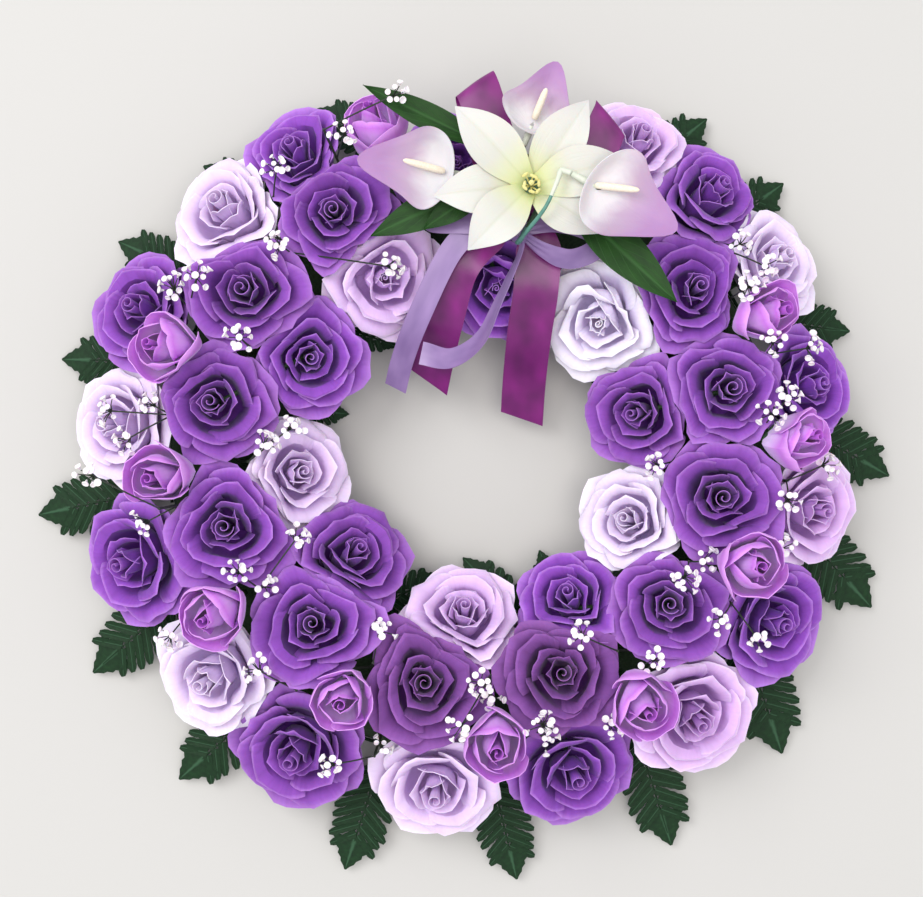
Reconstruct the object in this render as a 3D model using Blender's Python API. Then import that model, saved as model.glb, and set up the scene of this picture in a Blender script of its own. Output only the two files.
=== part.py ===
"""A funeral wreath of silk roses, rosebuds, a lily spray and satin bows on a half-round foam ring.

The wreath lies on its flat back. The origin is the middle of the back, +Z points up through the flowers, and +Y points
to the bows and the lily. Lengths in the tables are millimetres; everything that is built is in metres.
"""

import math
import random
from collections import namedtuple

import bmesh
import bpy
import numpy as np
from mathutils import Matrix, Vector
from mathutils.bvhtree import BVHTree

MM = 0.001
FULL_TURN = 2 * math.pi
UP = Vector((0, 0, 1))

# Foam ring
RING_R = 0.145  # centreline radius
SECTION_R = 0.035  # radius of its half-round section, which is also its height
RING_STEPS = 30
SECTION_STEPS = 6

CLEAR = 0.0005  # gap between a piece and what it stands on or beside
FLOWER_FLOOR = 0.0155  # no petal hangs lower, so the fern fronds have room below
CREEP_ROOM = 0.005  # height over the foam that is kept for the baby's breath stems
STEM_R = 0.0018
SHARPNESS = 14  # how tightly a crowded flower fills the corners of its place
SILK = 0.0009  # thickness of a cut petal or leaf
RIBBON = 0.0008
WIRE_R = 0.0010

# One flower head: middle of the head and its radius in mm, its lean towards +X and +Y, and its turn in degrees.
# A lid is a height that the flower stays under, because something lies across it.
Bloom = namedtuple("Bloom", "x y z radius lean_x lean_y turn lid", defaults=(0, 0, 0, None))

PURPLE_ROSES = {
    "a": Bloom(-98, 167, 49, 35, -0.1, 0.1, 20),
    "b": Bloom(-77, 134, 66, 35, 0.1, -0.1, 75),
    "c": Bloom(-125, 90, 68, 39, 0.0, 0.0, 10),
    "d": Bloom(-186, 81, 46, 35, 0.1, 0.0, 140),
    "e": Bloom(-93, 55, 58, 34, -0.1, 0.1, 200),
    "f": Bloom(-143, 29, 68, 38, 0.0, 0.0, 50),
    "g": Bloom(-136, -40, 68, 40, 0.0, 0.05, 95),
    "h": Bloom(-191, -60, 45, 37, 0.0, 0.0, 30),
    "i": Bloom(-69, -58, 52, 35, 0.1, 0.2, 160),
    "j": Bloom(-88, -94, 70, 39, -0.1, 0.1, 115),
    "k": Bloom(-99, -166, 47, 39, 0.1, 0.1, 60),
    "l": Bloom(-27, -126, 67, 39, 0.0, -0.05, 25),
    "m": Bloom(49, -121, 67, 39, 0.05, 0.0, 130),
    "n": Bloom(56, -177, 46, 38, 0.1, 0.1, 80),
    "o": Bloom(56, -84, 48, 33, 0.0, 0.3, 10),
    "p": Bloom(109, -83, 65, 38, -0.05, 0.05, 170),
    "q": Bloom(168, -93, 47, 37, 0.0, 0.1, 45),
    "r": Bloom(137, -24, 69, 39, 0.0, 0.05, 90),
    "s": Bloom(95, 24, 54, 34, -0.1, 0.0, 150),
    "t": Bloom(141, 36, 69, 38, 0.0, 0.05, 65),
    "u": Bloom(189, 39, 45, 34, 0.1, 0.0, 120),
    "v": Bloom(123, 91, 64, 37, 0.05, 0.1, 35),
    "z": Bloom(134, 146, 50, 34, 0.2, 0.1, 100),
    "x": Bloom(14, 96, 52, 33, -0.05, 0.1, 155, 67),
    "y": Bloom(-9, 163, 46, 34, 0.0, 0.1, 5, 61),
}

LIGHT_ROSES = {
    "a": Bloom(-137, 136, 51, 38, -0.1, 0.1, 60),
    "b": Bloom(-51, 101, 51, 36, 0.1, 0.1, 100, 67),
    "c": Bloom(-200, 17, 44, 35, 0.0, 0.0, 15),
    "d": Bloom(-101, -11, 51, 34, 0.1, 0.1, 80),
    "e": Bloom(-146, -125, 49, 38, 0.0, 0.1, 130),
    "f": Bloom(-20, -187, 45, 37, 0.0, 0.1, 25),
    "g": Bloom(-5, -93, 48, 34, 0.0, 0.2, 70),
    "h": Bloom(124, -146, 49, 38, -0.1, 0.1, 110),
    "i": Bloom(91, -38, 51, 34, -0.1, 0.0, 40),
    "j": Bloom(191, -31, 44, 35, 0.0, 0.0, 90),
    "k": Bloom(73, 76, 53, 36, -0.1, -0.1, 145, 69),
    "l": Bloom(170, 109, 44, 33, 0.1, 0.0, 55),
    "m": Bloom(92, 174, 50, 33, 0.1, 0.2, 15),
}

ROSEBUDS = {
    "a": Bloom(-55, 184, 64, 24, -0.2, 0.5, 10),
    "b": Bloom(-169, 59, 82, 25, -0.3, 0.0, 60),
    "c": Bloom(-171, -13, 82, 25, -0.1, 0.0, 120),
    "d": Bloom(-142, -87, 86, 25, -0.1, -0.1, 30),
    "e": Bloom(-71, -133, 84, 23, 0.0, -0.1, 85),
    "f": Bloom(13, -158, 83, 25, 0.0, -0.1, 150),
    "g": Bloom(92, -136, 88, 25, 0.1, -0.1, 45),
    "h": Bloom(151, -59, 90, 25, 0.1, 0.0, 100),
    "i": Bloom(178, 10, 80, 24, 0.7, 0.0, 15),
    "j": Bloom(161, 78, 80, 26, 0.6, -0.1, 70),
}

# Purple heads of one bunch: a short stalk joins the two.
FORKED = [("b", "a"), ("c", "d"), ("f", "e"), ("g", "h"), ("j", "i"), ("m", "n"), ("p", "o"), ("t", "s"), ("v", "z"),
          ("x", "y")]

# Baby's breath. Each pick is a stem that creeps over the foam, with risers that come up between the flowers.
# A riser is (its gap's x and y, then the x and y of each cluster of florets that it ends in).
BABYS_BREATH = [
    [((-116, 150), (-108, 157)),
     ((-79, 172), (-70, 174)),
     ((-101, 112), (-106, 115), (-47, 104))],
    [((-124, 60), (-126, 63)),
     ((-162, 83), (-166, 92)),
     ((-168, 22), (-190, 9), (-200, 24)),
     ((-163, -28), (-180, -37)),
     ((-126, -4), (-102, 14))],
    [((-119, -75), (-115, -73)),
     ((-172, -98), (-170, -102)),
     ((-98, -131), (-117, -118)),
     ((-56, -117), (-52, -98)),
     ((-56, -172), (-77, -171))],
    [((10, -124), (4, -124), (-6, -144)),
     ((35, -155), (38, -147)),
     ((81, -110), (59, -98)),
     ((76, -149), (77, -150)),
     ((104, -116), (99, -112))],
    [((121, -60), (127, -59)),
     ((144, -83), (155, -99)),
     ((177, -62), (172, -53)),
     ((178, -15), (196, -6)),
     ((110, -4), (102, -6))],
    [((163, 17), (173, 31)),
     ((165, 56), (186, 59)),
     ((145, 88), (146, 89)),
     ((148, 119), (149, 117))],
]

# Fern fronds: the angle of the tip round the ring, its distance from the middle, and the way that the frond points.
OUTER_FRONDS = [
    [(188, 261, 192), (167, 251, 178), (149, 246, 155), (133, 235, 152)],
    [(115, 226, 155), (55, 244, 40), (41, 246, 36), (18, 237, -5)],
    [(-3, 249, -28), (-21, 255, -46), (-44, 257, -70), (-63, 262, -72)],
    [(-84, 255, -77), (-107, 259, -108), (-132, 261, -138), (-150, 261, -139)],
]
INNER_FRONDS = [
    [(93, 78, 273), (125, 78, 340)],
    [(162, 77, 355), (185, 80, 50)],
    [(256, 74, 25), (265, 62, 134), (305, 70, 110)],
    [(344, 77, 174), (35, 78, 203)],
]

# Lily spray, in mm; a calla is (throat, tip, width)
LILY = (31, 145, 92)
LILY_LAYERS = [[(15, 53), (134, 59), (226, 49)], [(56, 56), (186, 53), (326, 46)]]  # direction, length
LILY_PETAL_W = 27
FORK = (33, 159, 79)
CALLAS = {
    "left": ((-7, 153, 84), (-63, 160, 87), 45),
    "top": ((29, 172, 86), (46, 213, 87), 38),
    "right": ((57, 147, 106.5), (108, 119, 104), 48),
}
# The right calla's stem starts at the fork, turns at the bow and lies across the lily.
CALLA_STEM_OVER_LILY = [(33, 158, 78), (37, 140, 79.5), (27, 119, 83.8), (24, 115, 88), (28, 119, 95), (38, 131, 103.5),
                        (44, 144, 104), (46.5, 151.5, 102.5)]
# Lance-shaped leaves: the flower whose branch each grows from, and how far along it, then the tip and the width
LANCE_LEAVES = [
    ("left", 0.12, (-60, 201, 84), 15),
    ("left", 0.25, (-56, 120, 76.5), 20),
    ("left", 0.50, (-27, 123, 82), 15),
    ("right", 0.12, (110, 82, 92), 23),
]

COLOURS = {
    "foam": ((0.10, 0.14, 0.07), 0.9),
    "fern": ((0.03, 0.13, 0.06), 0.55),
    "silk_purple": ((0.22, 0.05, 0.45), 0.75),
    "silk_light": ((0.62, 0.45, 0.78), 0.75),
    "silk_bud": ((0.60, 0.25, 0.72), 0.7),
    "babys_breath": ((0.88, 0.82, 0.86), 0.5),
    "lily_white": ((0.90, 0.90, 0.86), 0.5),
    "calla_lilac": ((0.80, 0.68, 0.86), 0.5),
    "leaf_green": ((0.04, 0.17, 0.06), 0.4),
    "satin_plum": ((0.16, 0.01, 0.14), 0.35),
    "satin_lavender": ((0.48, 0.38, 0.75), 0.35),
}


# Scene, materials and small helpers

def clear_scene():
    for obj in list(bpy.data.objects):
        bpy.data.objects.remove(obj)


def make_materials():
    made = {}
    for name, (colour, roughness) in COLOURS.items():
        material = bpy.data.materials.new(name)
        material.use_nodes = True
        shader = material.node_tree.nodes["Principled BSDF"]
        shader.inputs["Base Color"].default_value = (*colour, 1)
        shader.inputs["Roughness"].default_value = roughness
        shader.inputs["Metallic"].default_value = 0
        made[name] = material
    return made


def add_object(name, bm, material):
    bmesh.ops.recalc_face_normals(bm, faces=bm.faces)
    mesh = bpy.data.meshes.new(name)
    bm.to_mesh(mesh)
    bm.free()
    mesh.materials.append(material)
    obj = bpy.data.objects.new(name, mesh)
    wreath.objects.link(obj)
    return obj


def is_closed(mesh):
    bm = bmesh.new()
    bm.from_mesh(mesh)
    bmesh.ops.triangulate(bm, faces=bm.faces)
    closed = len(bm.faces) > 0 and all(edge.is_manifold for edge in bm.edges)
    bm.free()
    return closed


def fuse(obj, others):
    """Joins the other objects to obj in one body, and removes them. A tiny nudge helps where edges just touch."""
    loose = bpy.data.collections.new("to_fuse")
    bpy.context.scene.collection.children.link(loose)
    for other in others:
        wreath.objects.unlink(other)
        loose.objects.link(other)
    union = obj.modifiers.new("union", "BOOLEAN")
    union.operation = "UNION"
    union.operand_type = "COLLECTION"
    union.collection = loose
    for nudge, solver in ((0, "EXACT"), (0, "MANIFOLD"), (0.03, "EXACT"), (-0.03, "EXACT"), (0.06, "MANIFOLD")):
        union.solver = solver
        for other in others:
            other.location = Vector((0.5, 0.3, 1)) * nudge * MM
        bpy.context.view_layer.update()
        fused = bpy.data.meshes.new_from_object(obj.evaluated_get(bpy.context.evaluated_depsgraph_get()))
        if is_closed(fused):
            break
    obj.modifiers.clear()
    obj.data = fused
    for other in list(loose.objects):
        bpy.data.objects.remove(other)
    bpy.data.collections.remove(loose)
    return obj


def tree_of(objects):
    """A search tree over the faces of these objects, whose meshes lie in world space."""
    points, faces = [], []
    for obj in objects:
        start = len(points)
        points += [v.co.copy() for v in obj.data.vertices]
        faces += [[start + v for v in polygon.vertices] for polygon in obj.data.polygons]
    return BVHTree.FromPolygons(points, faces)


# The foam ring and places on it

def make_foam_ring(material):
    """A half-round section turned about Z, with its flat side down."""
    profile = bmesh.new()
    angles = [math.pi * k / SECTION_STEPS for k in range(SECTION_STEPS + 1)]
    verts = [profile.verts.new((RING_R + SECTION_R * math.cos(a), 0, SECTION_R * math.sin(a))) for a in angles]
    verts.reverse()
    for first, second in zip(verts, verts[1:] + verts[:1]):
        profile.edges.new((first, second))
    bmesh.ops.spin(profile, geom=profile.verts[:] + profile.edges[:], cent=(0, 0, 0), axis=(0, 0, 1),
                   angle=FULL_TURN, steps=RING_STEPS, use_merge=True, use_duplicate=False)
    bmesh.ops.remove_doubles(profile, verts=profile.verts, dist=1e-6)
    return add_object("foam_ring", profile, material)


def core_below(point):
    """The point of the ring's centreline nearest to a point, at the height of the flat back."""
    flat = Vector((point.x, point.y, 0))
    return flat.normalized() * RING_R


def seat(point, lift=CLEAR):
    """Where a line from this point to the ring's core comes out of the foam, lifted by a gap."""
    core = core_below(point)
    hit = foam_tree.ray_cast(point, (core - point).normalized())[0]
    return hit + (point - core).normalized() * lift


# Lofts

def ring_loop(count, radius, height, phase=0.0):
    """Evenly spaced (angle, radius, height) points."""
    return [(FULL_TURN * k / count + phase, radius, height) for k in range(count)]


def petal_loop(petals, shares, radius, height, step, lobe, droop, phase=0.0):
    """The rim of a layer of petals. Each overlaps the next by a step in radius, and its middle stands out and hangs."""
    points = []
    for petal in range(petals):
        for share in shares:
            swell = math.sin(math.pi * share / shares[-1])
            points.append((FULL_TURN * (petal + share) / petals + phase,
                           radius * (1 + step * (share - 0.5)) * (1 - lobe * (1 - swell)),
                           height - droop * swell))
    return points


def loft(bm, loops):
    """Skins a list of vertex loops, each a list of (angle, vertex), with triangles, whatever their counts."""
    for low, high in zip(loops, loops[1:]):
        low, high = (sorted(((a % FULL_TURN, v) for a, v in loop), key=lambda item: item[0]) for loop in (low, high))
        low_count, high_count = len(low), len(high)
        i, j = 0, (high_count if high_count == 1 else 0)
        while i < low_count or j < high_count:
            next_low = low[i + 1][0] if i + 1 < low_count else low[0][0] + FULL_TURN
            next_high = high[j + 1][0] if j + 1 < high_count else high[0][0] + FULL_TURN
            if j >= high_count or (i < low_count and next_low <= next_high):
                bm.faces.new((low[i % low_count][1], low[(i + 1) % low_count][1], high[j % high_count][1]))
                i += 1
            else:
                bm.faces.new((low[i % low_count][1], high[(j + 1) % high_count][1], high[j % high_count][1]))
                j += 1


def open_rose_loops():
    """An opened rose of unit radius: stem, calyx, then layers of petals that wind in to a bud."""
    four = (0.0, 0.31, 0.62, 0.93)
    three = (0.0, 0.46, 0.92)
    overlap = math.radians(-2.5)  # the ring below a rim has a point where two petals overlap
    half = math.radians(36)
    return [
        ring_loop(3, 0.065, -0.76),
        ring_loop(5, 0.24, -0.70, overlap),
        ring_loop(10, 0.66, -0.36, overlap),
        petal_loop(5, four, 0.97, 0.05, 0.06, 0.13, 0.16),
        ring_loop(10, 0.60, -0.05, overlap),
        petal_loop(5, three, 0.71, 0.33, 0.14, 0.10, 0.10, half),
        ring_loop(5, 0.45, 0.07, half + overlap),
        petal_loop(4, (0.0, 0.5), 0.47, 0.46, 0.0, 0.14, 0.05, 0.2),
        ring_loop(5, 0.26, 0.20, 0.5),
        petal_loop(3, (0.0, 0.5), 0.24, 0.56, 0.0, 0.3, 0.0, 0.9),
        ring_loop(1, 0.0, 0.36),
    ]


def rosebud_loops():
    """A half-open bud of unit radius, taller than it is wide."""
    four = (0.0, 0.31, 0.62, 0.93)
    overlap = math.radians(-4)
    half = math.radians(60)
    return [
        ring_loop(3, 0.09, -0.97),
        ring_loop(6, 0.34, -0.90, overlap),
        ring_loop(9, 0.66, -0.42, overlap),
        petal_loop(3, four, 0.74, 0.36, 0.10, 0.06, 0.10),
        ring_loop(6, 0.46, 0.22, overlap),
        petal_loop(3, (0.0, 0.46, 0.92), 0.47, 0.62, 0.16, 0.06, 0.05, half),
        ring_loop(6, 0.25, 0.32, overlap),
        ring_loop(3, 0.13, 0.66, half),
        ring_loop(1, 0.0, 0.56),
    ]


# Flower heads and the room that each has

def centre_of(bloom):
    return Vector((bloom.x, bloom.y, bloom.z)) * MM


def facing_of(bloom):
    """A flower faces away from the foam, half as far over as it sits, plus its own lean."""
    centre = centre_of(bloom)
    outward = (centre - core_below(centre)).normalized()
    return (outward + 0.7 * UP + Vector((bloom.lean_x, bloom.lean_y, 0))).normalized()


def turn_to(facing, turn):
    """The rotation that takes +Z to facing, after a turn about it in degrees."""
    return facing.to_track_quat("Z", "Y").to_matrix() @ Matrix.Rotation(math.radians(turn), 3, "Z")


def nearest_on_segment(point, start, end):
    along = end - start
    share = max(0.0, min(1.0, (point - start).dot(along) / along.length_squared))
    return start + along * share


def planes_round(key, heads, rods):
    """The planes (normal, distance from the flower's middle) that shut a flower off from its neighbours."""
    bloom = heads[key]
    centre, reach = centre_of(bloom), bloom.radius * MM
    from_core = centre - core_below(centre)
    planes = [(-UP, centre.z - FLOWER_FLOOR), (-from_core.normalized(), from_core.length - SECTION_R - CREEP_ROOM)]
    if bloom.lid:
        planes.append((UP, bloom.lid * MM - centre.z))
    for other_key, other in heads.items():
        apart = centre_of(other) - centre
        other_reach = other.radius * MM
        if other_key != key and apart.length < (reach + other_reach) * 1.15:
            planes.append((apart.normalized(), apart.length * reach / (reach + other_reach) - CLEAR / 2))
    for owner, start, end, radius in rods:
        apart = nearest_on_segment(centre, start, end) - centre
        if owner != key and apart.length < reach * 1.2:
            planes.append((apart.normalized(), apart.length - radius - CLEAR))
    return planes


def squeeze(points, centre, reach, planes):
    """Draws the points of a flower straight in towards its middle until all are on its side of every plane."""
    offsets = points - np.array(centre)
    lengths = np.maximum(np.linalg.norm(offsets, axis=1), 1e-9)
    crowding = np.zeros(len(points))
    for normal, distance in planes:
        towards = np.maximum(offsets @ np.array(normal) / lengths, 0)
        crowding += (reach * towards / distance) ** SHARPNESS
    return np.array(centre) + offsets * ((1 + crowding) ** (-1 / SHARPNESS))[:, None]


def make_flower(name, loops, bloom, planes, foot, foot_r, material):
    """A flower head on its stem. The head is squeezed into its room, and the stem runs straight to its foot."""
    centre, reach = centre_of(bloom), bloom.radius * MM
    turn = turn_to(facing_of(bloom), bloom.turn)
    bm = bmesh.new()
    rows = []
    for loop in loops:
        local = [Vector((r * math.cos(a), r * math.sin(a), h)) * reach for a, r, h in loop]
        points = np.array([centre + turn @ p for p in local])
        rows.append([(a, bm.verts.new(p)) for (a, _, _), p in zip(loop, squeeze(points, centre, reach, planes))])
    neck = sum((v.co for _, v in rows[0]), Vector()) / len(rows[0])
    down = turn_to((neck - foot).normalized(), bloom.turn)
    end = [(a, bm.verts.new(foot + down @ (Vector((math.cos(a), math.sin(a), 0)) * foot_r)))
           for a, _, _ in loops[0]]
    loft(bm, [end] + rows)
    bm.faces.new([v for _, v in reversed(end)])
    return add_object(name, bm, material)


def neck_of(bloom):
    """About where the stem leaves the flower head."""
    centre = centre_of(bloom)
    above_foam = (centre - core_below(centre)).length - SECTION_R
    return centre - facing_of(bloom) * min(bloom.radius * MM * 0.8, above_foam - CREEP_ROOM)


def calyx_of(bloom):
    return centre_of(bloom) - facing_of(bloom) * bloom.radius * MM * 0.25


# Thin cut pieces

def blade(name, stations, thickness, material, fold=0.0):
    """A thin leaf or petal. Each station is (rib point, half width as a vector, lift of the edges); the last is a tip."""
    bm = bmesh.new()
    rows = []
    for point, half, lift in stations[:-1]:
        rows.append([bm.verts.new(point - half + lift), bm.verts.new(point), bm.verts.new(point + half + lift)])
    for first, second in zip(rows, rows[1:]):
        for k in (0, 1):
            bm.faces.new((first[k], first[k + 1], second[k + 1], second[k]))
    tip = bm.verts.new(stations[-1][0])
    for k in (0, 1):
        bm.faces.new((rows[-1][k], rows[-1][k + 1], tip))
    bmesh.ops.triangulate(bm, faces=bm.faces)
    thicken(bm, thickness)
    return add_object(name, bm, material)


def thicken(bm, thickness):
    bmesh.ops.recalc_face_normals(bm, faces=bm.faces)
    bmesh.ops.solidify(bm, geom=bm.faces[:], thickness=thickness)


def tube_mesh(points, radii, sides):
    """A closed tube through points with a radius at each, as a mesh, and its rings of vertices."""
    bm = bmesh.new()
    rings = []
    side = Vector((0.3, 0.2, 1)).normalized()
    for k, (point, radius) in enumerate(zip(points, radii)):
        before, after = points[max(k - 1, 0)], points[min(k + 1, len(points) - 1)]
        along = (after - before).normalized()
        side = (side - along * side.dot(along)).normalized()
        across = along.cross(side)
        rings.append([bm.verts.new(point + (side * math.cos(a) + across * math.sin(a)) * radius)
                      for a in (FULL_TURN * s / sides for s in range(sides))])
    for first, second in zip(rings, rings[1:]):
        for s in range(sides):
            t = (s + 1) % sides
            bm.faces.new((first[s], first[t], second[t], second[s]))
    bm.faces.new(list(reversed(rings[0])))
    bm.faces.new(rings[-1])
    return bm, rings


def tube(name, points, radius, material, sides=4):
    return add_object(name, tube_mesh(points, [radius] * len(points), sides)[0], material)


def strip(name, points, halves, thickness, material):
    """A ribbon along points; halves are the vectors from its middle to its edge."""
    bm = bmesh.new()
    rows = [(bm.verts.new(p - h), bm.verts.new(p + h)) for p, h in zip(points, halves)]
    for first, second in zip(rows, rows[1:]):
        bm.faces.new((first[0], first[1], second[1], second[0]))
    bmesh.ops.triangulate(bm, faces=bm.faces)
    thicken(bm, thickness)
    return add_object(name, bm, material)


def smooth_path(points, count):
    """Evenly many points on a Catmull-Rom curve through the given ones."""
    given = [Vector(p) for p in points]
    given = [2 * given[0] - given[1]] + given + [2 * given[-1] - given[-2]]
    path = []
    for k in range(count):
        u = k / (count - 1) * (len(given) - 3)
        n = min(int(u), len(given) - 4)
        t = u - n
        p0, p1, p2, p3 = given[n:n + 4]
        path.append(0.5 * (2 * p1 + (p2 - p0) * t + (2 * p0 - 5 * p1 + 4 * p2 - p3) * t * t
                           + (3 * p1 - p0 - 3 * p2 + p3) * t ** 3))
    return path


# Ferns

def make_frond(root, direction, length, leaflets, material):
    """A fern frond: pointed leaflets cut towards the rib on both sides, and a whole tip, arched along its length."""
    across = UP.cross(direction).normalized()
    bm = bmesh.new()

    def spot(share, aside):
        rise = 0.006 * math.sin(math.pi * share) - 0.004 * share - 0.12 * abs(aside)
        return bm.verts.new(root + direction * length * share + across * aside + UP * rise)

    def half_width(share):
        return length * 0.26 * math.sin(math.pi * min(1, share * 0.74 + 0.12)) ** 0.8

    step = 0.58 / leaflets
    shares = [0.2 + step * k for k in range(leaflets + 1)]
    row = [spot(-0.027, -0.0012), spot(-0.027, 0.0012)]
    ribs = [row]
    for share in shares:
        wide = max(0.0014, half_width(share) * 0.36)
        ribs.append([spot(share, -wide), spot(share, wide)])
    for first, second in zip(ribs, ribs[1:]):
        bm.faces.new((first[0], first[1], second[1], second[0]))
    for k, share in enumerate(shares[:-1]):
        reach = half_width(share + step * 0.5)
        for side, sign in ((0, -1), (1, 1)):
            point = spot(share + step * 1.15, reach * sign)
            bm.faces.new((ribs[k + 1][side], point, ribs[k + 2][side]))
    tip = spot(1.0, 0)
    bm.faces.new((ribs[-1][0], ribs[-1][1], tip))
    bmesh.ops.triangulate(bm, faces=bm.faces)
    thicken(bm, SILK)
    return add_object("frond", bm, material)


def arc_on_foam(angle_from, angle_to, tilt, lift, step=14):
    """Points along the foam's skin between two angles round the ring; tilt is from straight up, in degrees."""
    count = max(2, int(abs(angle_to - angle_from) / step) + 1)
    points = []
    for k in range(count):
        angle = math.radians(angle_from + (angle_to - angle_from) * k / (count - 1))
        out = RING_R + (SECTION_R + lift) * math.sin(math.radians(tilt))
        points.append(Vector((out * math.cos(angle), out * math.sin(angle),
                              (SECTION_R + lift) * math.cos(math.radians(tilt)))))
    return points


def plant_frond(tip_angle, tip_distance, heading, foot, side):
    """The angle round the ring where a frond stands on the foot of the foam, the way it points, and its length."""
    tip = Matrix.Rotation(math.radians(tip_angle), 3, "Z") @ Vector((tip_distance * MM, 0, 0))
    direction = Matrix.Rotation(math.radians(heading), 3, "Z") @ Vector((1, 0, 0))
    reach = tip.dot(direction)
    length = reach - side * math.sqrt(reach ** 2 - tip.length_squared + foot ** 2)
    root = tip - direction * length
    return math.degrees(math.atan2(root.y, root.x)), direction, length


def make_fern_stem(name, fronds, side, material):
    """A wire along the foot of the foam with its fronds; side is 1 on the outside of the ring, -1 on the inside."""
    tilt = 76 * side
    lift = WIRE_R + (0.0006 if side > 0 else 0.0004)
    foot = RING_R + (SECTION_R + lift) * math.sin(math.radians(tilt))
    angles, pieces = [], []
    for tip_angle, tip_distance, heading in fronds:
        angle, direction, length = plant_frond(tip_angle, tip_distance, heading, foot, side)
        if angles:
            angle = angles[-1] + (angle - angles[-1] + 180) % 360 - 180
        angles.append(angle)
        root = arc_on_foam(angle, angle + 1, tilt, lift, 1)[0]
        pieces.append(make_frond(root, direction, length, 5 if side > 0 else 4, material))
    step = 11 if side > 0 else 14
    wire = tube(name, arc_on_foam(min(angles) - 3, max(angles) + 3, tilt, lift, step), WIRE_R, material, 3)
    return fuse(wire, pieces)


# Baby's breath

FLORET_REACH = 0.0052
FLORET_R = 0.0023
HUB = 0.0012
RISER_TOP = 0.094  # how far from the core of the ring the risers reach
SPRIG_R = 0.0008


def make_cluster(stem_points, seed, material):
    """Four florets on the end of a thin stem: each face of its small knob is drawn out and widened."""
    draw = random.Random(seed)
    top = stem_points[-1]
    along = ((top - stem_points[-2]).normalized() + UP * 0.8).normalized()
    points = stem_points[:-1] + [top - along * HUB, top + along * HUB]
    radii = [SPRIG_R] * (len(points) - 2) + [HUB, HUB * 1.3]
    bm, rings = tube_mesh(points, radii, 3)
    low, high = set(rings[-2]), set(rings[-1])
    buds = [f for f in bm.faces if set(f.verts) <= low | high]
    for face in buds:
        out = (face.calc_center_median() - top).normalized()
        out = (out + along * (0.5 + draw.uniform(-0.15, 0.2))).normalized()
        face = bmesh.ops.extrude_discrete_faces(bm, faces=[face])["faces"][0]
        middle = face.calc_center_median()
        scale = FLORET_R / max((v.co - middle).length for v in face.verts)
        bmesh.ops.scale(bm, vec=(scale,) * 3, space=Matrix.Translation(-middle), verts=face.verts)
        bmesh.ops.translate(bm, vec=out * FLORET_REACH * draw.uniform(0.85, 1.15), verts=face.verts)
        peak = bmesh.ops.poke(bm, faces=[face])["verts"][0]
        peak.co += out * FLORET_R * 0.7
    return add_object("cluster", bm, material)


def room_at(point, tree):
    return tree.find_nearest(point)[3]


def clear_height(x, y, floor, tree, room):
    """The lowest height over (x, y), not under floor, at which a ball of radius room touches no flower."""
    hit = tree.ray_cast(Vector((x, y, 0.3)), -UP)[0]
    height = max(floor, hit.z + room if hit else floor)
    while height < 0.2 and room_at(Vector((x, y, height)), tree) < room:
        height += 0.001
    return height


def sprig_way(foot, top, hub, tree):
    """How far up a riser a sprig leaves it, and its bend and its end, which goes up until the way is clear."""
    steps = [0.12 * k for k in range(1, 9)]
    for lift in range(25):
        end = hub + UP * 0.002 * lift
        for share in (0.5, 0.6, 0.7, 0.8, 0.9):
            start = foot.lerp(top, share)
            bend = start.lerp(end, 0.5) + UP * 0.002
            way = [start.lerp(bend, step) for step in steps] + [bend.lerp(end, step) for step in steps]
            if start.z < end.z - 0.004 and min(room_at(point, tree) for point in way) > 0.0018:
                return share, bend, end
    return 0.9, bend, end


def creep(points, rods):
    """A wire's way over the foam through points, bent clear of the stems that stand in the foam."""
    way = []
    for first, second in zip(points, points[1:]):
        count = max(2, int((second - first).length / 0.007))
        way += [first.lerp(second, k / count) for k in range(count)]
    way.append(points[-1])
    room = WIRE_R + 0.0022
    for _, start, end, radius in rods:
        stem = (end - start).normalized()
        gaps = [(point - nearest_on_segment(point, start, end)).length for point in way]
        close = [k for k, gap in enumerate(gaps) if gap < room + radius + 0.004]
        if not close:
            continue
        across = stem.cross(way[min(close[-1] + 1, len(way) - 1)] - way[max(close[0] - 1, 0)]).normalized()
        if (way[gaps.index(min(gaps))] - start).dot(across) < 0:
            across = -across
        for k in close:
            if way[k] in points:
                continue
            aside = (way[k] - start).dot(across)
            way[k] = way[k] + across * max(0, room + radius - aside)
    for k, point in enumerate(way):
        core = core_below(point)
        way[k] = core + (point - core).normalized() * (SECTION_R + WIRE_R + 0.0004)
    return way


def riser_line(gap_xy):
    """The line of a riser: from the foam, straight away from the ring's core, to above the flowers."""
    top = Vector((gap_xy[0], gap_xy[1], 60)) * MM
    core = core_below(top)
    out = (top - core).normalized()
    return core + out * (SECTION_R + WIRE_R + 0.0004), core + out * RISER_TOP


def make_babys_breath(name, risers, seed, tree, stems, material):
    lines = [riser_line(riser[0]) for riser in risers]
    feet = sorted((line[0] for line in lines), key=lambda foot: math.atan2(foot.y, foot.x) % FULL_TURN)
    wire = tube(name, creep(feet, stems), WIRE_R, material, 3)
    pieces = []
    for number, (riser, (foot, top)) in enumerate(zip(risers, lines)):
        highest = 0
        for count, (x, y) in enumerate(riser[1:]):
            hub = Vector((x * MM, y * MM, clear_height(x * MM, y * MM, 0.056, tree, 0.0088)))
            share, bend, end = sprig_way(foot, top, hub, tree)
            pieces.append(make_cluster([foot.lerp(top, share), bend, end], seed + 10 * number + count, material))
            highest = max(highest, share)
        pieces.append(tube("riser", [foot, foot.lerp(top, highest + 0.01)], SPRIG_R, material, 3))
    return fuse(wire, pieces)


# Lily spray

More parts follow.
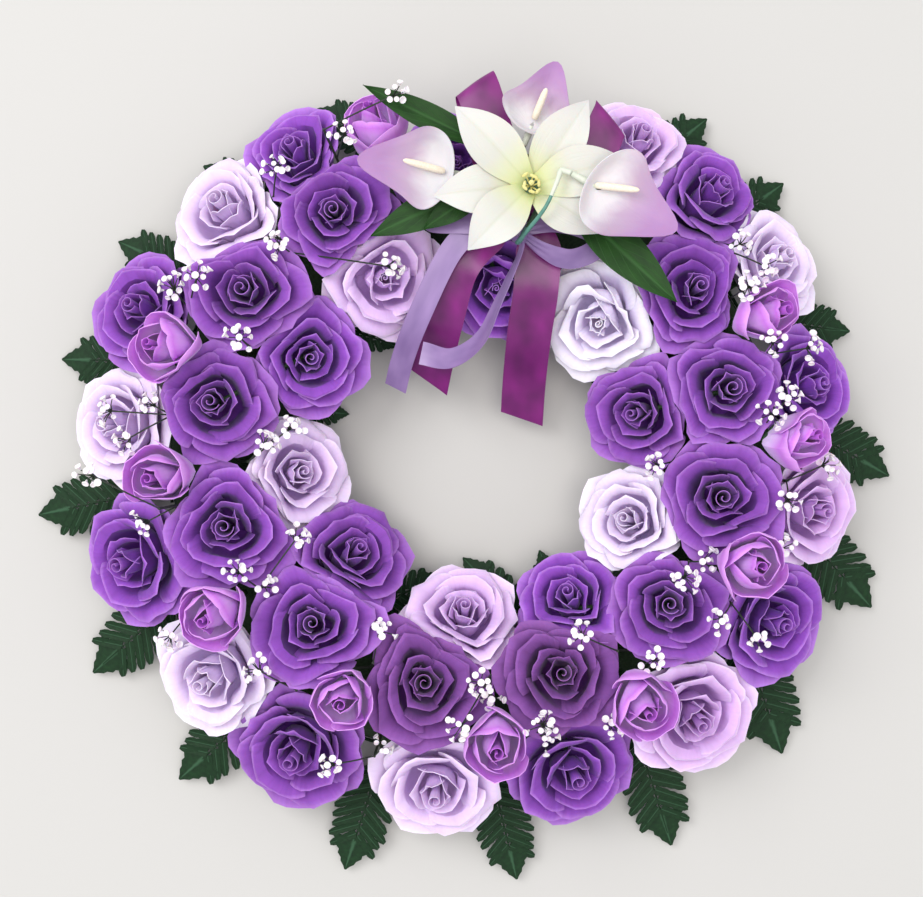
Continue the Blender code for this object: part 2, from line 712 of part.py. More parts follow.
def petal_star(middle, petals, width, thickness, material):
    """Pointed petals that join in the middle of a flower, as one thin arched piece."""
    bm = bmesh.new()
    hub = []
    for direction, length in sorted(petals):
        angle = math.radians(direction)
        out = Vector((math.cos(angle), math.sin(angle), 0))
        across = UP.cross(out)
        rows = []
        for share, wide, rise in ((0.14, 0.30, 1.0), (0.5, 1.0, 6.5), (0.77, 0.72, 5.5)):
            rib = middle + (out * length * share + UP * rise) * MM
            half = across * width / 2 * wide * MM
            edge = UP * 0.0018 * wide
            rows.append([bm.verts.new(rib - half + edge), bm.verts.new(rib), bm.verts.new(rib + half + edge)])
        hub += rows[0]
        for first, second in zip(rows, rows[1:]):
            for k in (0, 1):
                bm.faces.new((first[k], first[k + 1], second[k + 1], second[k]))
        tip = bm.verts.new(middle + (out * length + UP * 1.5) * MM)
        for k in (0, 1):
            bm.faces.new((rows[-1][k], rows[-1][k + 1], tip))
    bm.faces.new(hub)
    bmesh.ops.triangulate(bm, faces=bm.faces)
    thicken(bm, thickness)
    return add_object("petal_star", bm, material)


def make_lily(material):
    """Two layers of three pointed petals round a throat with its pistil."""
    middle = Vector(LILY) * MM
    throat = bmesh.new()
    rows = []
    for radius, height in ((1.8, -10.5), (3.6, -5), (4.6, 1.5), (3.0, 3.5), (1.2, 6), (1.6, 9)):
        rows.append([(a, throat.verts.new(middle + Vector((r * math.cos(a), r * math.sin(a), h)) * MM))
                     for a, r, h in ring_loop(6, radius, height)])
    loft(throat, rows)
    throat.faces.new([v for _, v in reversed(rows[0])])
    throat.faces.new([v for _, v in rows[-1]])
    lily = add_object("lily_flower", throat, material)
    layers = [petal_star(middle - UP * 0.0026 * number, petals, LILY_PETAL_W, SILK, material)
              for number, petals in enumerate(LILY_LAYERS)]
    return fuse(lily, layers)


def calla_axes(calla):
    throat, tip = Vector(calla[0]) * MM, Vector(calla[1]) * MM
    along = (tip - throat).normalized()
    side = along.cross(UP).normalized()
    return throat, (tip - throat).length, along, side, side.cross(along)


def calla_stem_end(calla):
    throat, length, along, _, up = calla_axes(calla)
    return throat - along * length * 0.09 - up * 0.0040


def make_calla(name, calla, material):
    """A calla: one petal that flares from a rolled throat to a pointed lip, open upwards, with the spadix in it."""
    throat, length, along, side, up = calla_axes(calla)
    half = calla[2] / 2 * MM
    bm = bmesh.new()

    def petal_ring(count, share, lift):
        """A ring of the petal, share of the way from its throat to its rim."""
        made = []
        for a, _, _ in ring_loop(count, 1, 0):
            far = 0.08 + 0.54 * (1 - math.cos(a)) / 2 + 0.38 * max(0, -math.cos(a)) ** 6
            height = half * (0.22 * math.sin(a) ** 2 + 0.10) * share ** 2 + lift
            made.append((a, bm.verts.new(throat + along * length * (0.17 + (far - 0.17) * share)
                                         + side * half * math.sin(a) * share + up * height)))
        return made

    def round_ring(count, distance, radius, lift=0.0):
        return [(a, bm.verts.new(throat + along * distance * length
                                 + side * radius * math.sin(a) + up * (radius * math.cos(a) + lift)))
                for a, _, _ in ring_loop(count, 1, 0)]

    rows = [
        round_ring(5, -0.09, 0.0016, -0.0040),
        round_ring(5, -0.02, 0.0018, -0.0044),
        petal_ring(8, 0.35, -0.0038),
        petal_ring(12, 0.72, -0.0026),
        petal_ring(12, 1.0, 0.0),
        petal_ring(12, 0.72, -0.0008),
        petal_ring(8, 0.35, -0.0012),
        [(a, bm.verts.new(throat + along * 0.17 * length + side * 0.0016 * math.sin(a) + up * 0.0016 * math.cos(a)
                          + up * 0.0016)) for a, _, _ in ring_loop(4, 1, 0)],
        [(a, bm.verts.new(throat + along * 0.52 * length + side * 0.0016 * math.sin(a) + up * 0.0016 * math.cos(a)
                          + up * 0.0055)) for a, _, _ in ring_loop(4, 1, 0)],
    ]
    loft(bm, rows)
    bm.faces.new([v for _, v in reversed(rows[0])])
    bm.faces.new([v for _, v in rows[-1]])
    return add_object(name, bm, material)


def make_spray_stem(material):
    """The green stem of the spray: it stands in the foam and forks to the flowers and the lance-shaped leaves."""
    fork = Vector(FORK) * MM
    foot = seat(fork)
    lily_base = Vector(LILY) * MM + UP * (-0.0105 - CLEAR)
    stem = tube("spray_stem", [foot, foot.lerp(fork, 0.5), fork], STEM_R, material, 6)
    ways = {"lily": [fork - UP * 0.002, lily_base - UP * 0.0015, lily_base]}
    for side, calla in CALLAS.items():
        end, along = calla_stem_end(calla), calla_axes(calla)[2]
        if side == "right":
            ways[side] = smooth_path([Vector(p) * MM for p in CALLA_STEM_OVER_LILY], 9) + [end - along * CLEAR * 1.3]
        else:
            ways[side] = [fork - UP * 0.001, end - along * 0.006, end - along * CLEAR]
    pieces = [tube("branch", way, STEM_R * 0.8, material, 3) for way in ways.values()]
    for side, share, tip, width in LANCE_LEAVES:
        root, tip = ways[side][0].lerp(ways[side][1], share), Vector(tip) * MM
        way = tip - root
        across = UP.cross(way).normalized() * width / 2 * MM
        stations = [(root + way * at, across * wide, UP * 0.0015)
                    for at, wide in ((0.0, 0.10), (0.3, 0.40), (0.62, 1.0), (0.84, 0.74), (1.0, 0))]
        pieces.append(blade("leaf", stations, SILK, material))
    return fuse(stem, pieces)


# Satin bows

def ribbon_piece(points, width, tilt_from, tilt_to, knot, material, count=6):
    """A length of ribbon through points in mm; it rolls about its own line from one tilt to the other, in degrees."""
    path = smooth_path([Vector(p) * MM for p in points], count)
    halves = []
    for k, point in enumerate(path):
        along = (path[min(k + 1, count - 1)] - path[max(k - 1, 0)]).normalized()
        level = Vector((along.y, -along.x, 0)).normalized()
        tilt = math.radians(tilt_from + (tilt_to - tilt_from) * k / (count - 1))
        gathered = 0.4 + 0.6 * min(1, (point - Vector(knot) * MM).length / 0.025)
        halves.append((Matrix.Rotation(tilt, 3, along) @ level) * width * gathered * MM / 2)
    for k in range(1, count):
        if halves[k].dot(halves[k - 1]) < 0:
            halves[k] = -halves[k]
    return strip("ribbon", path, halves, RIBBON, material)


def make_bow(name, knot, knot_size, lengths, width, material):
    """A bow: lengths of ribbon that meet in a small knot. Each length is (points, tilt at its start, tilt at its end)."""
    bm = bmesh.new()
    bmesh.ops.create_uvsphere(bm, u_segments=8, v_segments=4, radius=1)
    bmesh.ops.scale(bm, vec=Vector(knot_size) * MM, verts=bm.verts)
    bmesh.ops.translate(bm, vec=Vector(knot) * MM, verts=bm.verts)
    bow = add_object(name, bm, material)
    pieces = [ribbon_piece(points, width, tilt_from, tilt_to, knot, material)
              for points, tilt_from, tilt_to in lengths]
    return fuse(bow, pieces)


PLUM_KNOT = (28, 138, 69)
PLUM_W = 25
PLUM_LENGTHS = [
    ([(26, 137, 69), (6, 122, 70), (-9, 104, 70), (-17, 78, 57), (-23, 55, 38), (-27, 37, 24)], 0, 0),
    ([(29, 136, 69), (36, 116, 69.5), (35, 92, 68.8), (32, 68, 53.8), (30, 42, 32), (29, 17, 16)], 0, 0),
    ([(28, 139, 67.5), (12, 165, 64), (2, 199, 63), (1, 206, 67), (5, 196, 71), (14, 167, 72), (28, 139, 70.5)], 0, 0),
    ([(29, 138, 67.5), (60, 156, 68.5), (74, 181, 68.5), (76, 186, 70), (72, 176, 71.5), (59, 157, 72), (29, 138, 70.5)],
     0, 0),
]
LAVENDER_KNOT = (25, 121, 77.5)
LAVENDER_W = 13
LAVENDER_LENGTHS = [
    ([(23, 121, 76), (4, 124, 76), (-12, 112, 75), (-30, 77, 64), (-40, 54, 43), (-45, 37, 28)], 0, 0),
    ([(22, 122, 75.4), (2, 127, 74), (-18, 129, 72), (-22, 129, 73.5), (-17, 128, 75.5), (2, 127, 77.5), (22, 122, 79)],
     0, 0),
    ([(25, 122, 77), (38, 112, 80), (53, 107, 79), (67, 113, 76), (64, 123, 73), (47, 128, 73.5), (26, 123, 76)], 55, 10),
    ([(25, 121, 77), (26, 112, 78), (14, 84, 76), (4, 64, 66), (-12, 54, 58), (-29, 57, 57)], 50, 0),
]


# The whole wreath

def named_heads():
    heads = {}
    for kind, table in (("rose_purple", PURPLE_ROSES), ("rose_light", LIGHT_ROSES), ("rosebud", ROSEBUDS)):
        for letter, bloom in table.items():
            heads[f"{kind}_{letter}"] = bloom
    return heads


def set_on_origin(objects):
    """Moves everything so that the middle of the bounding box's underside is the origin."""
    points = [v.co for obj in objects for v in obj.data.vertices]
    low = Vector([min(p[k] for p in points) for k in range(3)])
    high = Vector([max(p[k] for p in points) for k in range(3)])
    shift = Matrix.Translation((-(low.x + high.x) / 2, -(low.y + high.y) / 2, -low.z))
    for obj in objects:
        obj.data.transform(shift)


clear_scene()
materials = make_materials()
wreath = bpy.data.collections.new("funeral_wreath")
bpy.context.scene.collection.children.link(wreath)

foam_tree = tree_of([make_foam_ring(materials["foam"])])

heads = named_heads()
stems = {key: (key, seat(neck_of(bloom)), neck_of(bloom), STEM_R) for key, bloom in heads.items()}
riser_rods = [("riser", *riser_line(riser[0]), WIRE_R) for pick in BABYS_BREATH for riser in pick]
fork = Vector(FORK) * MM
spray_rod = ("spray_stem", seat(fork), fork, STEM_R)
rods = list(stems.values()) + riser_rods + [spray_rod]

loops_of = {"rose_purple": open_rose_loops(), "rose_light": open_rose_loops(), "rosebud": rosebud_loops()}
silk_of = {"rose_purple": "silk_purple", "rose_light": "silk_light", "rosebud": "silk_bud"}
flowers = {}
for key, bloom in heads.items():
    kind = key.rsplit("_", 1)[0]
    flowers[key] = make_flower(key, loops_of[kind], bloom, planes_round(key, heads, rods), stems[key][1], STEM_R,
                               materials[silk_of[kind]])
for first, second in FORKED:
    upper, lower = PURPLE_ROSES[first], PURPLE_ROSES[second]
    ends = [calyx_of(upper), calyx_of(upper).lerp(calyx_of(lower), 0.5), calyx_of(lower)]
    link = tube("link", ends, STEM_R, materials["silk_purple"], 3)
    joined = fuse(flowers[f"rose_purple_{first}"], [flowers.pop(f"rose_purple_{second}"), link])
    joined.name = f"rose_purple_{first}{second}"
flower_tree = tree_of(flowers.values())

stem_rods = list(stems.values()) + [spray_rod]
for number, pick in enumerate(BABYS_BREATH):
    make_babys_breath(f"babys_breath_{number + 1}", pick, 100 * number, flower_tree, stem_rods,
                      materials["babys_breath"])

for number, fronds in enumerate(OUTER_FRONDS):
    make_fern_stem(f"fern_outer_{number + 1}", fronds, 1, materials["fern"])
for number, fronds in enumerate(INNER_FRONDS):
    make_fern_stem(f"fern_inner_{number + 1}", fronds, -1, materials["fern"])

make_lily(materials["lily_white"])
for side, calla in CALLAS.items():
    make_calla(f"calla_{side}", calla, materials["calla_lilac"])
make_spray_stem(materials["leaf_green"])

make_bow("bow_plum", PLUM_KNOT, (7, 6, 3.2), PLUM_LENGTHS, PLUM_W, materials["satin_plum"])
make_bow("bow_lavender", LAVENDER_KNOT, (5, 5, 5.7), LAVENDER_LENGTHS, LAVENDER_W, materials["satin_lavender"])

set_on_origin(list(wreath.objects))
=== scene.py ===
"""The looks of a funeral wreath of silk roses and buds, fern, baby's breath, a lily spray and satin bows.

Lengths in the tables are millimetres from the middle of the foam ring's flat back.
"""

import math
import random
from collections import namedtuple

import bmesh
import bpy
import numpy as np
from mathutils import Matrix, Vector
from mathutils.bvhtree import BVHTree


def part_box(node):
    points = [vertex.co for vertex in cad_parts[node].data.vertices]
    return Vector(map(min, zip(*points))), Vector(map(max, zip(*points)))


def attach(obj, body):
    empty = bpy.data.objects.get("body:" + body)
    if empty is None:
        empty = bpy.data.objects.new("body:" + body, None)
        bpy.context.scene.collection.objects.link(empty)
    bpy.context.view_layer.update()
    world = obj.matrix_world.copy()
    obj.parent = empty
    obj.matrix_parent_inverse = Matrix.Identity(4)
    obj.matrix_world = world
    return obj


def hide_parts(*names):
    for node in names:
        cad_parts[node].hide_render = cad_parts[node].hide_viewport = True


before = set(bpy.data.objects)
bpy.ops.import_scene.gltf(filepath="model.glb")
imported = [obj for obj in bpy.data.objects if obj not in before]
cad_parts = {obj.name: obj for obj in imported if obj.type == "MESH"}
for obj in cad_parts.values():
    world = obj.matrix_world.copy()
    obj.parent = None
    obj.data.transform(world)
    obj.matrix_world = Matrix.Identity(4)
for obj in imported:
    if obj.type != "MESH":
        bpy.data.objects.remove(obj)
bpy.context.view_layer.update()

MM = 0.001
FULL_TURN = 2 * math.pi
UP = Vector((0, 0, 1))
ring_low, ring_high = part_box("foam_ring")
RING_MIDDLE = Vector(((ring_low.x + ring_high.x) / 2, (ring_low.y + ring_high.y) / 2, ring_low.z))

# Places and sizes that the looks share with the solids
RING_R = 0.145
SECTION_R = 0.035
CLEAR = 0.0005
FLOWER_FLOOR = 0.0155
CREEP_ROOM = 0.005
STEM_R = 0.0018
SHARPNESS = 14
WIRE_R = 0.0010
WIRE_LIFT = 0.0004
OUTER_WIRE_LIFT = 0.0006
FERN_TILT = 76
RISER_TOP = 0.094
SPRIG_R = 0.0008
FLORET_R = 0.002

# How thick the cloths are
SILK = 0.00035
LEAF = 0.0004
PETAL_CLOTH = 0.0005
RIBBON = 0.0003

Bloom = namedtuple("Bloom", "x y z radius lean_x lean_y turn lid", defaults=(0, 0, 0, None))

# Each flower: its middle, radius, lean, turn in degrees, and the height of what lies on it
PURPLE_ROSES = {
    "a": Bloom(-98, 167, 49, 35, -0.1, 0.1, 20),
    "b": Bloom(-77, 134, 66, 35, 0.1, -0.1, 75),
    "c": Bloom(-125, 90, 68, 39, 0.0, 0.0, 10),
    "d": Bloom(-186, 81, 46, 35, 0.1, 0.0, 140),
    "e": Bloom(-93, 55, 58, 34, -0.1, 0.1, 200),
    "f": Bloom(-143, 29, 68, 38, 0.0, 0.0, 50),
    "g": Bloom(-136, -40, 68, 40, 0.0, 0.05, 95),
    "h": Bloom(-191, -60, 45, 37, 0.0, 0.0, 30),
    "i": Bloom(-69, -58, 52, 35, 0.1, 0.2, 160),
    "j": Bloom(-88, -94, 70, 39, -0.1, 0.1, 115),
    "k": Bloom(-99, -166, 47, 39, 0.1, 0.1, 60),
    "l": Bloom(-27, -126, 67, 39, 0.0, -0.05, 25),
    "m": Bloom(49, -121, 67, 39, 0.05, 0.0, 130),
    "n": Bloom(56, -177, 46, 38, 0.1, 0.1, 80),
    "o": Bloom(56, -84, 48, 33, 0.0, 0.3, 10),
    "p": Bloom(109, -83, 65, 38, -0.05, 0.05, 170),
    "q": Bloom(168, -93, 47, 37, 0.0, 0.1, 45),
    "r": Bloom(137, -24, 69, 39, 0.0, 0.05, 90),
    "s": Bloom(95, 24, 54, 34, -0.1, 0.0, 150),
    "t": Bloom(141, 36, 69, 38, 0.0, 0.05, 65),
    "u": Bloom(189, 39, 45, 34, 0.1, 0.0, 120),
    "v": Bloom(123, 91, 64, 37, 0.05, 0.1, 35),
    "z": Bloom(134, 146, 50, 34, 0.2, 0.1, 100),
    "x": Bloom(14, 96, 52, 33, -0.05, 0.1, 155, 67),
    "y": Bloom(-9, 163, 46, 34, 0.0, 0.1, 5, 61),
}
LIGHT_ROSES = {
    "a": Bloom(-137, 136, 51, 38, -0.1, 0.1, 60),
    "b": Bloom(-51, 101, 51, 36, 0.1, 0.1, 100, 67),
    "c": Bloom(-200, 17, 44, 35, 0.0, 0.0, 15),
    "d": Bloom(-101, -11, 51, 34, 0.1, 0.1, 80),
    "e": Bloom(-146, -125, 49, 38, 0.0, 0.1, 130),
    "f": Bloom(-20, -187, 45, 37, 0.0, 0.1, 25),
    "g": Bloom(-5, -93, 48, 34, 0.0, 0.2, 70),
    "h": Bloom(124, -146, 49, 38, -0.1, 0.1, 110),
    "i": Bloom(91, -38, 51, 34, -0.1, 0.0, 40),
    "j": Bloom(191, -31, 44, 35, 0.0, 0.0, 90),
    "k": Bloom(73, 76, 53, 36, -0.1, -0.1, 145, 69),
    "l": Bloom(170, 109, 44, 33, 0.1, 0.0, 55),
    "m": Bloom(92, 174, 50, 33, 0.1, 0.2, 15),
}
ROSEBUDS = {
    "a": Bloom(-55, 184, 64, 24, -0.2, 0.5, 10),
    "b": Bloom(-169, 59, 82, 25, -0.3, 0.0, 60),
    "c": Bloom(-171, -13, 82, 25, -0.1, 0.0, 120),
    "d": Bloom(-142, -87, 86, 25, -0.1, -0.1, 30),
    "e": Bloom(-71, -133, 84, 23, 0.0, -0.1, 85),
    "f": Bloom(13, -158, 83, 25, 0.0, -0.1, 150),
    "g": Bloom(92, -136, 88, 25, 0.1, -0.1, 45),
    "h": Bloom(151, -59, 90, 25, 0.1, 0.0, 100),
    "i": Bloom(178, 10, 80, 24, 0.7, 0.0, 15),
    "j": Bloom(161, 78, 80, 26, 0.6, -0.1, 70),
}
# Purple roses whose stalks are wired together in pairs
FORKED = ("ba", "cd", "fe", "gh", "ji", "mn", "po", "ts", "vz", "xy")
# Purple roses that are dusky all over
DUSKY_ROSES = {"l": 0.9, "m": 0.95}
# How white a light rose is: 0 is pinkish lilac all over, 1 is nearly white outside
WHITENESS = dict(zip("abcdefghijklm", (0.45, 0.1, 0.5, 0.35, 0.6, 0.35, 0.1, 0.0, 0.65, 0.0, 0.9, 0.6, 0.1)))

# A list for each pick: x and y of a riser's top, then of the clusters on it
BABYS_BREATH = [
    [((-116, 150), (-108, 157)),
     ((-79, 172), (-70, 174)),
     ((-101, 112), (-106, 115), (-47, 104))],
    [((-124, 60), (-126, 63)),
     ((-162, 83), (-166, 92)),
     ((-168, 22), (-190, 9), (-200, 24)),
     ((-163, -28), (-180, -37)),
     ((-126, -4), (-102, 14))],
    [((-119, -75), (-115, -73)),
     ((-172, -98), (-170, -102)),
     ((-98, -131), (-117, -118)),
     ((-56, -117), (-52, -98)),
     ((-56, -172), (-77, -171))],
    [((10, -124), (4, -124), (-6, -144)),
     ((35, -155), (38, -147)),
     ((81, -110), (59, -98)),
     ((76, -149), (77, -150)),
     ((104, -116), (99, -112))],
    [((121, -60), (127, -59)),
     ((144, -83), (155, -99)),
     ((177, -62), (172, -53)),
     ((178, -15), (196, -6)),
     ((110, -4), (102, -6))],
    [((163, 17), (173, 31)),
     ((165, 56), (186, 59)),
     ((145, 88), (146, 89)),
     ((148, 119), (149, 117))],
]

# More clusters, each on the riser nearest to it
EXTRA_CLUSTERS = [(-177, 27), (-201, -11), (-115, 5), (-98, -47), (-127, -64), (-51, -164), (10, -134),
                  (39, -156), (134, -89), (162, 22), (173, -25), (161, 104), (160, 60), (-43, 194),
                  (114, -66), (-150, 96)]

# A list for each wire: the angle of a tip round the ring, its distance, and the way the frond points
OUTER_FRONDS = [
    [(188, 261, 192), (167, 251, 178), (149, 246, 155), (133, 235, 152)],
    [(115, 226, 155), (55, 244, 40), (41, 246, 36), (18, 237, -5)],
    [(-3, 249, -28), (-21, 255, -46), (-44, 257, -70), (-63, 262, -72)],
    [(-84, 255, -77), (-107, 259, -108), (-132, 261, -138), (-150, 261, -139)],
]
INNER_FRONDS = [
    [(93, 78, 273), (125, 78, 340)],
    [(162, 77, 355), (185, 80, 50)],
    [(256, 74, 25), (265, 62, 134), (305, 70, 110)],
    [(344, 77, 174), (35, 78, 203)],
]

# The lily's throat, then the direction and length of the petals in its two layers
LILY = (31, 145, 92)
LILY_LAYERS = [[(15, 53), (134, 59), (226, 49)], [(56, 56), (186, 53), (326, 46)]]
LILY_PETAL_W = 27
FORK = (33, 159, 79)
# The throat and the tip of each calla, and its width
CALLAS = {
    "left": ((-7, 153, 84), (-63, 160, 87), 45),
    "top": ((29, 172, 86), (46, 213, 87), 38),
    "right": ((57, 147, 106.5), (108, 119, 104), 48),
}
# A spadix from and to these shares of the petal's length, and its swing aside in degrees
SPADIX = {"left": (0.15, 0.56, 5), "top": (0.24, 0.62, 0), "right": (0.15, 0.54, -20)}
CALLA_STEM_OVER_LILY = [(33, 158, 78), (37, 140, 79.5), (27, 119, 83.8), (24, 115, 88), (28, 119, 95),
                        (38, 131, 103.5), (44, 144, 104), (46.5, 151.5, 102.5)]
# Each lance leaf: its branch, how far along it, its tip, and its width
LANCE_LEAVES = [
    ("left", 0.12, (-60, 201, 84), 15),
    ("left", 0.25, (-56, 120, 76.5), 20),
    ("left", 0.50, (-27, 123, 82), 15),
    ("right", 0.12, (110, 82, 92), 23),
]

# A length of ribbon: its name, how it is held, its points, its tilt at both ends, the slant of its cut end,
# how long it holds the first tilt, and how far a loop's fold is turned
Length = namedtuple("Length", "name held points tilts slant hold skew", defaults=(1, 0))
PLUM_KNOT = (28, 138, 69)
PLUM_W = 25
PLUM_LENGTHS = [
    Length("left_tail", "draped",
           [(26, 137, 69), (6, 122, 70), (-9, 104, 70), (-17, 78, 57), (-23, 55, 38), (-27, 37, 24)],
           (0, 0), 0.12),
    Length("right_tail", "draped",
           [(29, 136, 69), (36, 116, 69.5), (35, 92, 68.8), (32, 68, 53.8), (30, 42, 32), (29, 17, 16)],
           (0, 0), 0.06),
    Length("left_loop", "folded",
           [(28, 139, 67.5), (12, 165, 64), (2, 199, 63), (1, 206, 67), (5, 196, 71), (14, 167, 72),
            (28, 139, 70.5)], (0, 0), 0, 1, 12),
    Length("right_loop", "folded",
           [(29, 138, 67.5), (60, 156, 68.5), (74, 181, 68.5), (76, 186, 70), (72, 176, 71.5), (59, 157, 72),
            (29, 138, 70.5)], (0, 0), 0, 1, -8),
]
LAVENDER_KNOT = (25, 121, 77.5)
LAVENDER_W = 13
LAVENDER_LENGTHS = [
    Length("left_tail", "draped",
           [(23, 121, 76), (4, 124, 76), (-12, 112, 75), (-30, 77, 64), (-40, 54, 43), (-45, 37, 28)],
           (0, 0), 0.03),
    Length("left_loop", "folded",
           [(22, 122, 75.4), (2, 127, 74), (-18, 129, 72), (-22, 129, 73.5), (-17, 128, 75.5),
            (2, 127, 77.5), (22, 122, 79)], (0, 0), 0),
    Length("right_loop", "folded",
           [(25, 122, 77), (38, 112, 80), (53, 107, 79), (67, 113, 76), (64, 123, 73), (47, 128, 73.5),
            (26, 123, 76)], (55, 10), 0),
    Length("curled_tail", "draped",
           [(25, 121, 77), (26, 112, 78), (14, 84, 76), (4, 64, 66), (-12, 54, 58), (-29, 57, 57)],
           (74, 0), 0, 2.5),
]


# Shapes

def spline(points, shares):
    """Points on a Catmull-Rom curve through the given ones, at an array of shares of its length."""
    given = np.array(points, float)
    given = np.vstack([2 * given[0] - given[1], given, 2 * given[-1] - given[-2]])
    u = np.clip(shares, 0, 1) * (len(given) - 3)
    n = np.minimum(u.astype(int), len(given) - 4)
    t = (u - n)[:, None]
    p0, p1, p2, p3 = (given[n + k] for k in range(4))
    return 0.5 * (2 * p1 + (p2 - p0) * t + (2 * p0 - 5 * p1 + 4 * p2 - p3) * t ** 2
                  + (3 * p1 - p0 - 3 * p2 + p3) * t ** 3)


def blend_in(value, low, high):
    share = np.clip((value - low) / (high - low), 0, 1)
    return share * share * (3 - 2 * share)


def new_cloth():
    """An empty mesh that carries what the silk and leaf finishes read."""
    bm = bmesh.new()
    bm.loops.layers.uv.new("UVMap")
    for name in ("rim", "heart", "tint"):
        bm.verts.layers.float.new(name)
    return bm


def lay_grid(bm, across, along):
    """A flat grid to be shaped: its vertices, u from -1 to 1 across and v from 0 to 1 along."""
    verts = bmesh.ops.create_grid(bm, x_segments=across, y_segments=along, size=1, calc_uvs=True)["verts"]
    flat = np.array([v.co for v in verts])
    return verts, flat[:, 0], (flat[:, 1] + 1) / 2


def put(bm, verts, points, rim=None, heart=0.0, tint=0.0):
    layers = bm.verts.layers.float
    rim_layer, heart_layer, tint_layer = layers["rim"], layers["heart"], layers["tint"]
    rims = np.zeros(len(verts)) if rim is None else rim
    for vert, point, edge in zip(verts, points, rims):
        vert.co = point
        vert[rim_layer] = edge
        vert[heart_layer] = heart
        vert[tint_layer] = tint


def sweep(bm, points, radii, sides):
    """A closed rod along points, with a radius at each: a ring that is extruded from point to point."""
    points = [Vector(p) for p in points]
    ring = bmesh.ops.create_circle(bm, cap_ends=False, segments=sides, radius=1)["verts"]
    edges = list({edge for vert in ring for edge in vert.link_edges})
    last = Matrix.Identity(4)
    side = Vector((0.3, 0.2, 1)).normalized()
    for k, (point, radius) in enumerate(zip(points, radii)):
        along = (points[min(k + 1, len(points) - 1)] - points[max(k - 1, 0)]).normalized()
        side = (side - along * side.dot(along)).normalized()
        turn = Matrix((side, along.cross(side), along)).transposed().to_4x4()
        here = Matrix.Translation(point) @ turn @ Matrix.Scale(radius, 4)
        if k:
            grown = bmesh.ops.extrude_edge_only(bm, edges=edges)["geom"]
            ring = [g for g in grown if isinstance(g, bmesh.types.BMVert)]
            fresh = set(ring)
            edges = [g for g in grown if isinstance(g, bmesh.types.BMEdge) and set(g.verts) <= fresh]
        else:
            bmesh.ops.edgeloop_fill(bm, edges=edges)
        bmesh.ops.transform(bm, matrix=here @ last.inverted(), verts=ring)
        last = here
    bmesh.ops.edgeloop_fill(bm, edges=edges)


def finish_piece(name, bm, material, nodes, thickness=0.0, sharp=50):
    """Gives a mesh its thickness, moves it to the ring, and makes it a piece that stands for its solids."""
    bmesh.ops.recalc_face_normals(bm, faces=bm.faces)
    if thickness:
        bmesh.ops.solidify(bm, geom=bm.faces[:], thickness=thickness)
        bmesh.ops.recalc_face_normals(bm, faces=bm.faces)
    bmesh.ops.translate(bm, vec=RING_MIDDLE, verts=bm.verts)
    mesh = bpy.data.meshes.new(name)
    bm.to_mesh(mesh)
    bm.free()
    mesh.shade_smooth()
    mesh.set_sharp_from_angle(angle=math.radians(sharp))
    mesh.materials.append(material)
    piece = bpy.data.objects.new(name, mesh)
    dressing.objects.link(piece)
    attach(piece, "root")
    if nodes:
        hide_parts(*nodes)
    return piece


# Finishes

def node(tree, kind, sockets=(), **settings):
    made = tree.nodes.new("ShaderNode" + kind)
    for key, value in settings.items():
        setattr(made, key, value)
    for key, value in dict(sockets).items():
        if isinstance(value, bpy.types.NodeSocket):
            tree.links.new(value, made.inputs[key])
        else:
            made.inputs[key].default_value = value
    return made


def ramp(tree, factor, stops):
    """A colour ramp; each stop is (place, colour)."""
    made = node(tree, "ValToRGB", {"Fac": factor})
    elements = made.color_ramp.elements
    while len(elements) < len(stops):
        elements.new(0.5)
    for element, (place, colour) in zip(elements, stops):
        element.position = place
        element.color = (*colour, 1)
    return made.outputs["Color"]


def mix(tree, factor, first, second, blend="MIX"):
    made = tree.nodes.new("ShaderNodeMix")
    made.data_type = "RGBA"
    made.blend_type = blend
    for socket, value in ((made.inputs[0], factor), (made.inputs[6], first), (made.inputs[7], second)):
        if isinstance(value, bpy.types.NodeSocket):
            tree.links.new(value, socket)
        else:
            socket.default_value = value if isinstance(value, (int, float)) else (*value, 1)
    return made.outputs[2]


def reckon(tree, operation, first, second=0.5):
    return node(tree, "Math", {0: first, 1: second}, operation=operation).outputs[0]


def new_finish(name, roughness, **shader_values):
    material = bpy.data.materials.new(name)
    material.use_nodes = True
    shader = material.node_tree.nodes["Principled BSDF"]
    shader.inputs["Roughness"].default_value = roughness
    for key, value in shader_values.items():
        shader.inputs[key.replace("_", " ")].default_value = value
    return material, material.node_tree, shader


def read(tree, attribute):
    return node(tree, "Attribute", attribute_name=attribute, attribute_type="GEOMETRY").outputs["Fac"]


def stretched(tree, across, along):
    """The cloth's own UV, stretched so that a pattern repeats this often across and along it."""
    uv = node(tree, "UVMap", uv_map="UVMap").outputs["UV"]
    return node(tree, "Mapping", {"Vector": uv, "Scale": (across, along, 1)}).outputs["Vector"]


def along_and_aside(tree):
    """How far along the cloth a place is, from 0 to 1, and how far aside of its middle line, to 0.5."""
    place = node(tree, "SeparateXYZ", {0: node(tree, "UVMap", uv_map="UVMap").outputs["UV"]})
    return place.outputs["Y"], reckon(tree, "ABSOLUTE", reckon(tree, "SUBTRACT", place.outputs["X"], 0.5))


def noise(tree, across, along, detail, scale=1.0, roughness=0.5):
    return node(tree, "TexNoise", {"Vector": stretched(tree, across, along), "Scale": scale, "Detail": detail,
                                   "Roughness": roughness}).outputs["Fac"]


def bands(tree, vector, direction):
    return node(tree, "TexWave", {"Vector": vector, "Scale": 1.0}, bands_direction=direction).outputs["Fac"]


def thread_height(tree, across, along):
    """The height of a plain weave: threads both ways."""
    uv = stretched(tree, across, along)
    return reckon(tree, "MAXIMUM", bands(tree, uv, "X"), bands(tree, uv, "Y"))


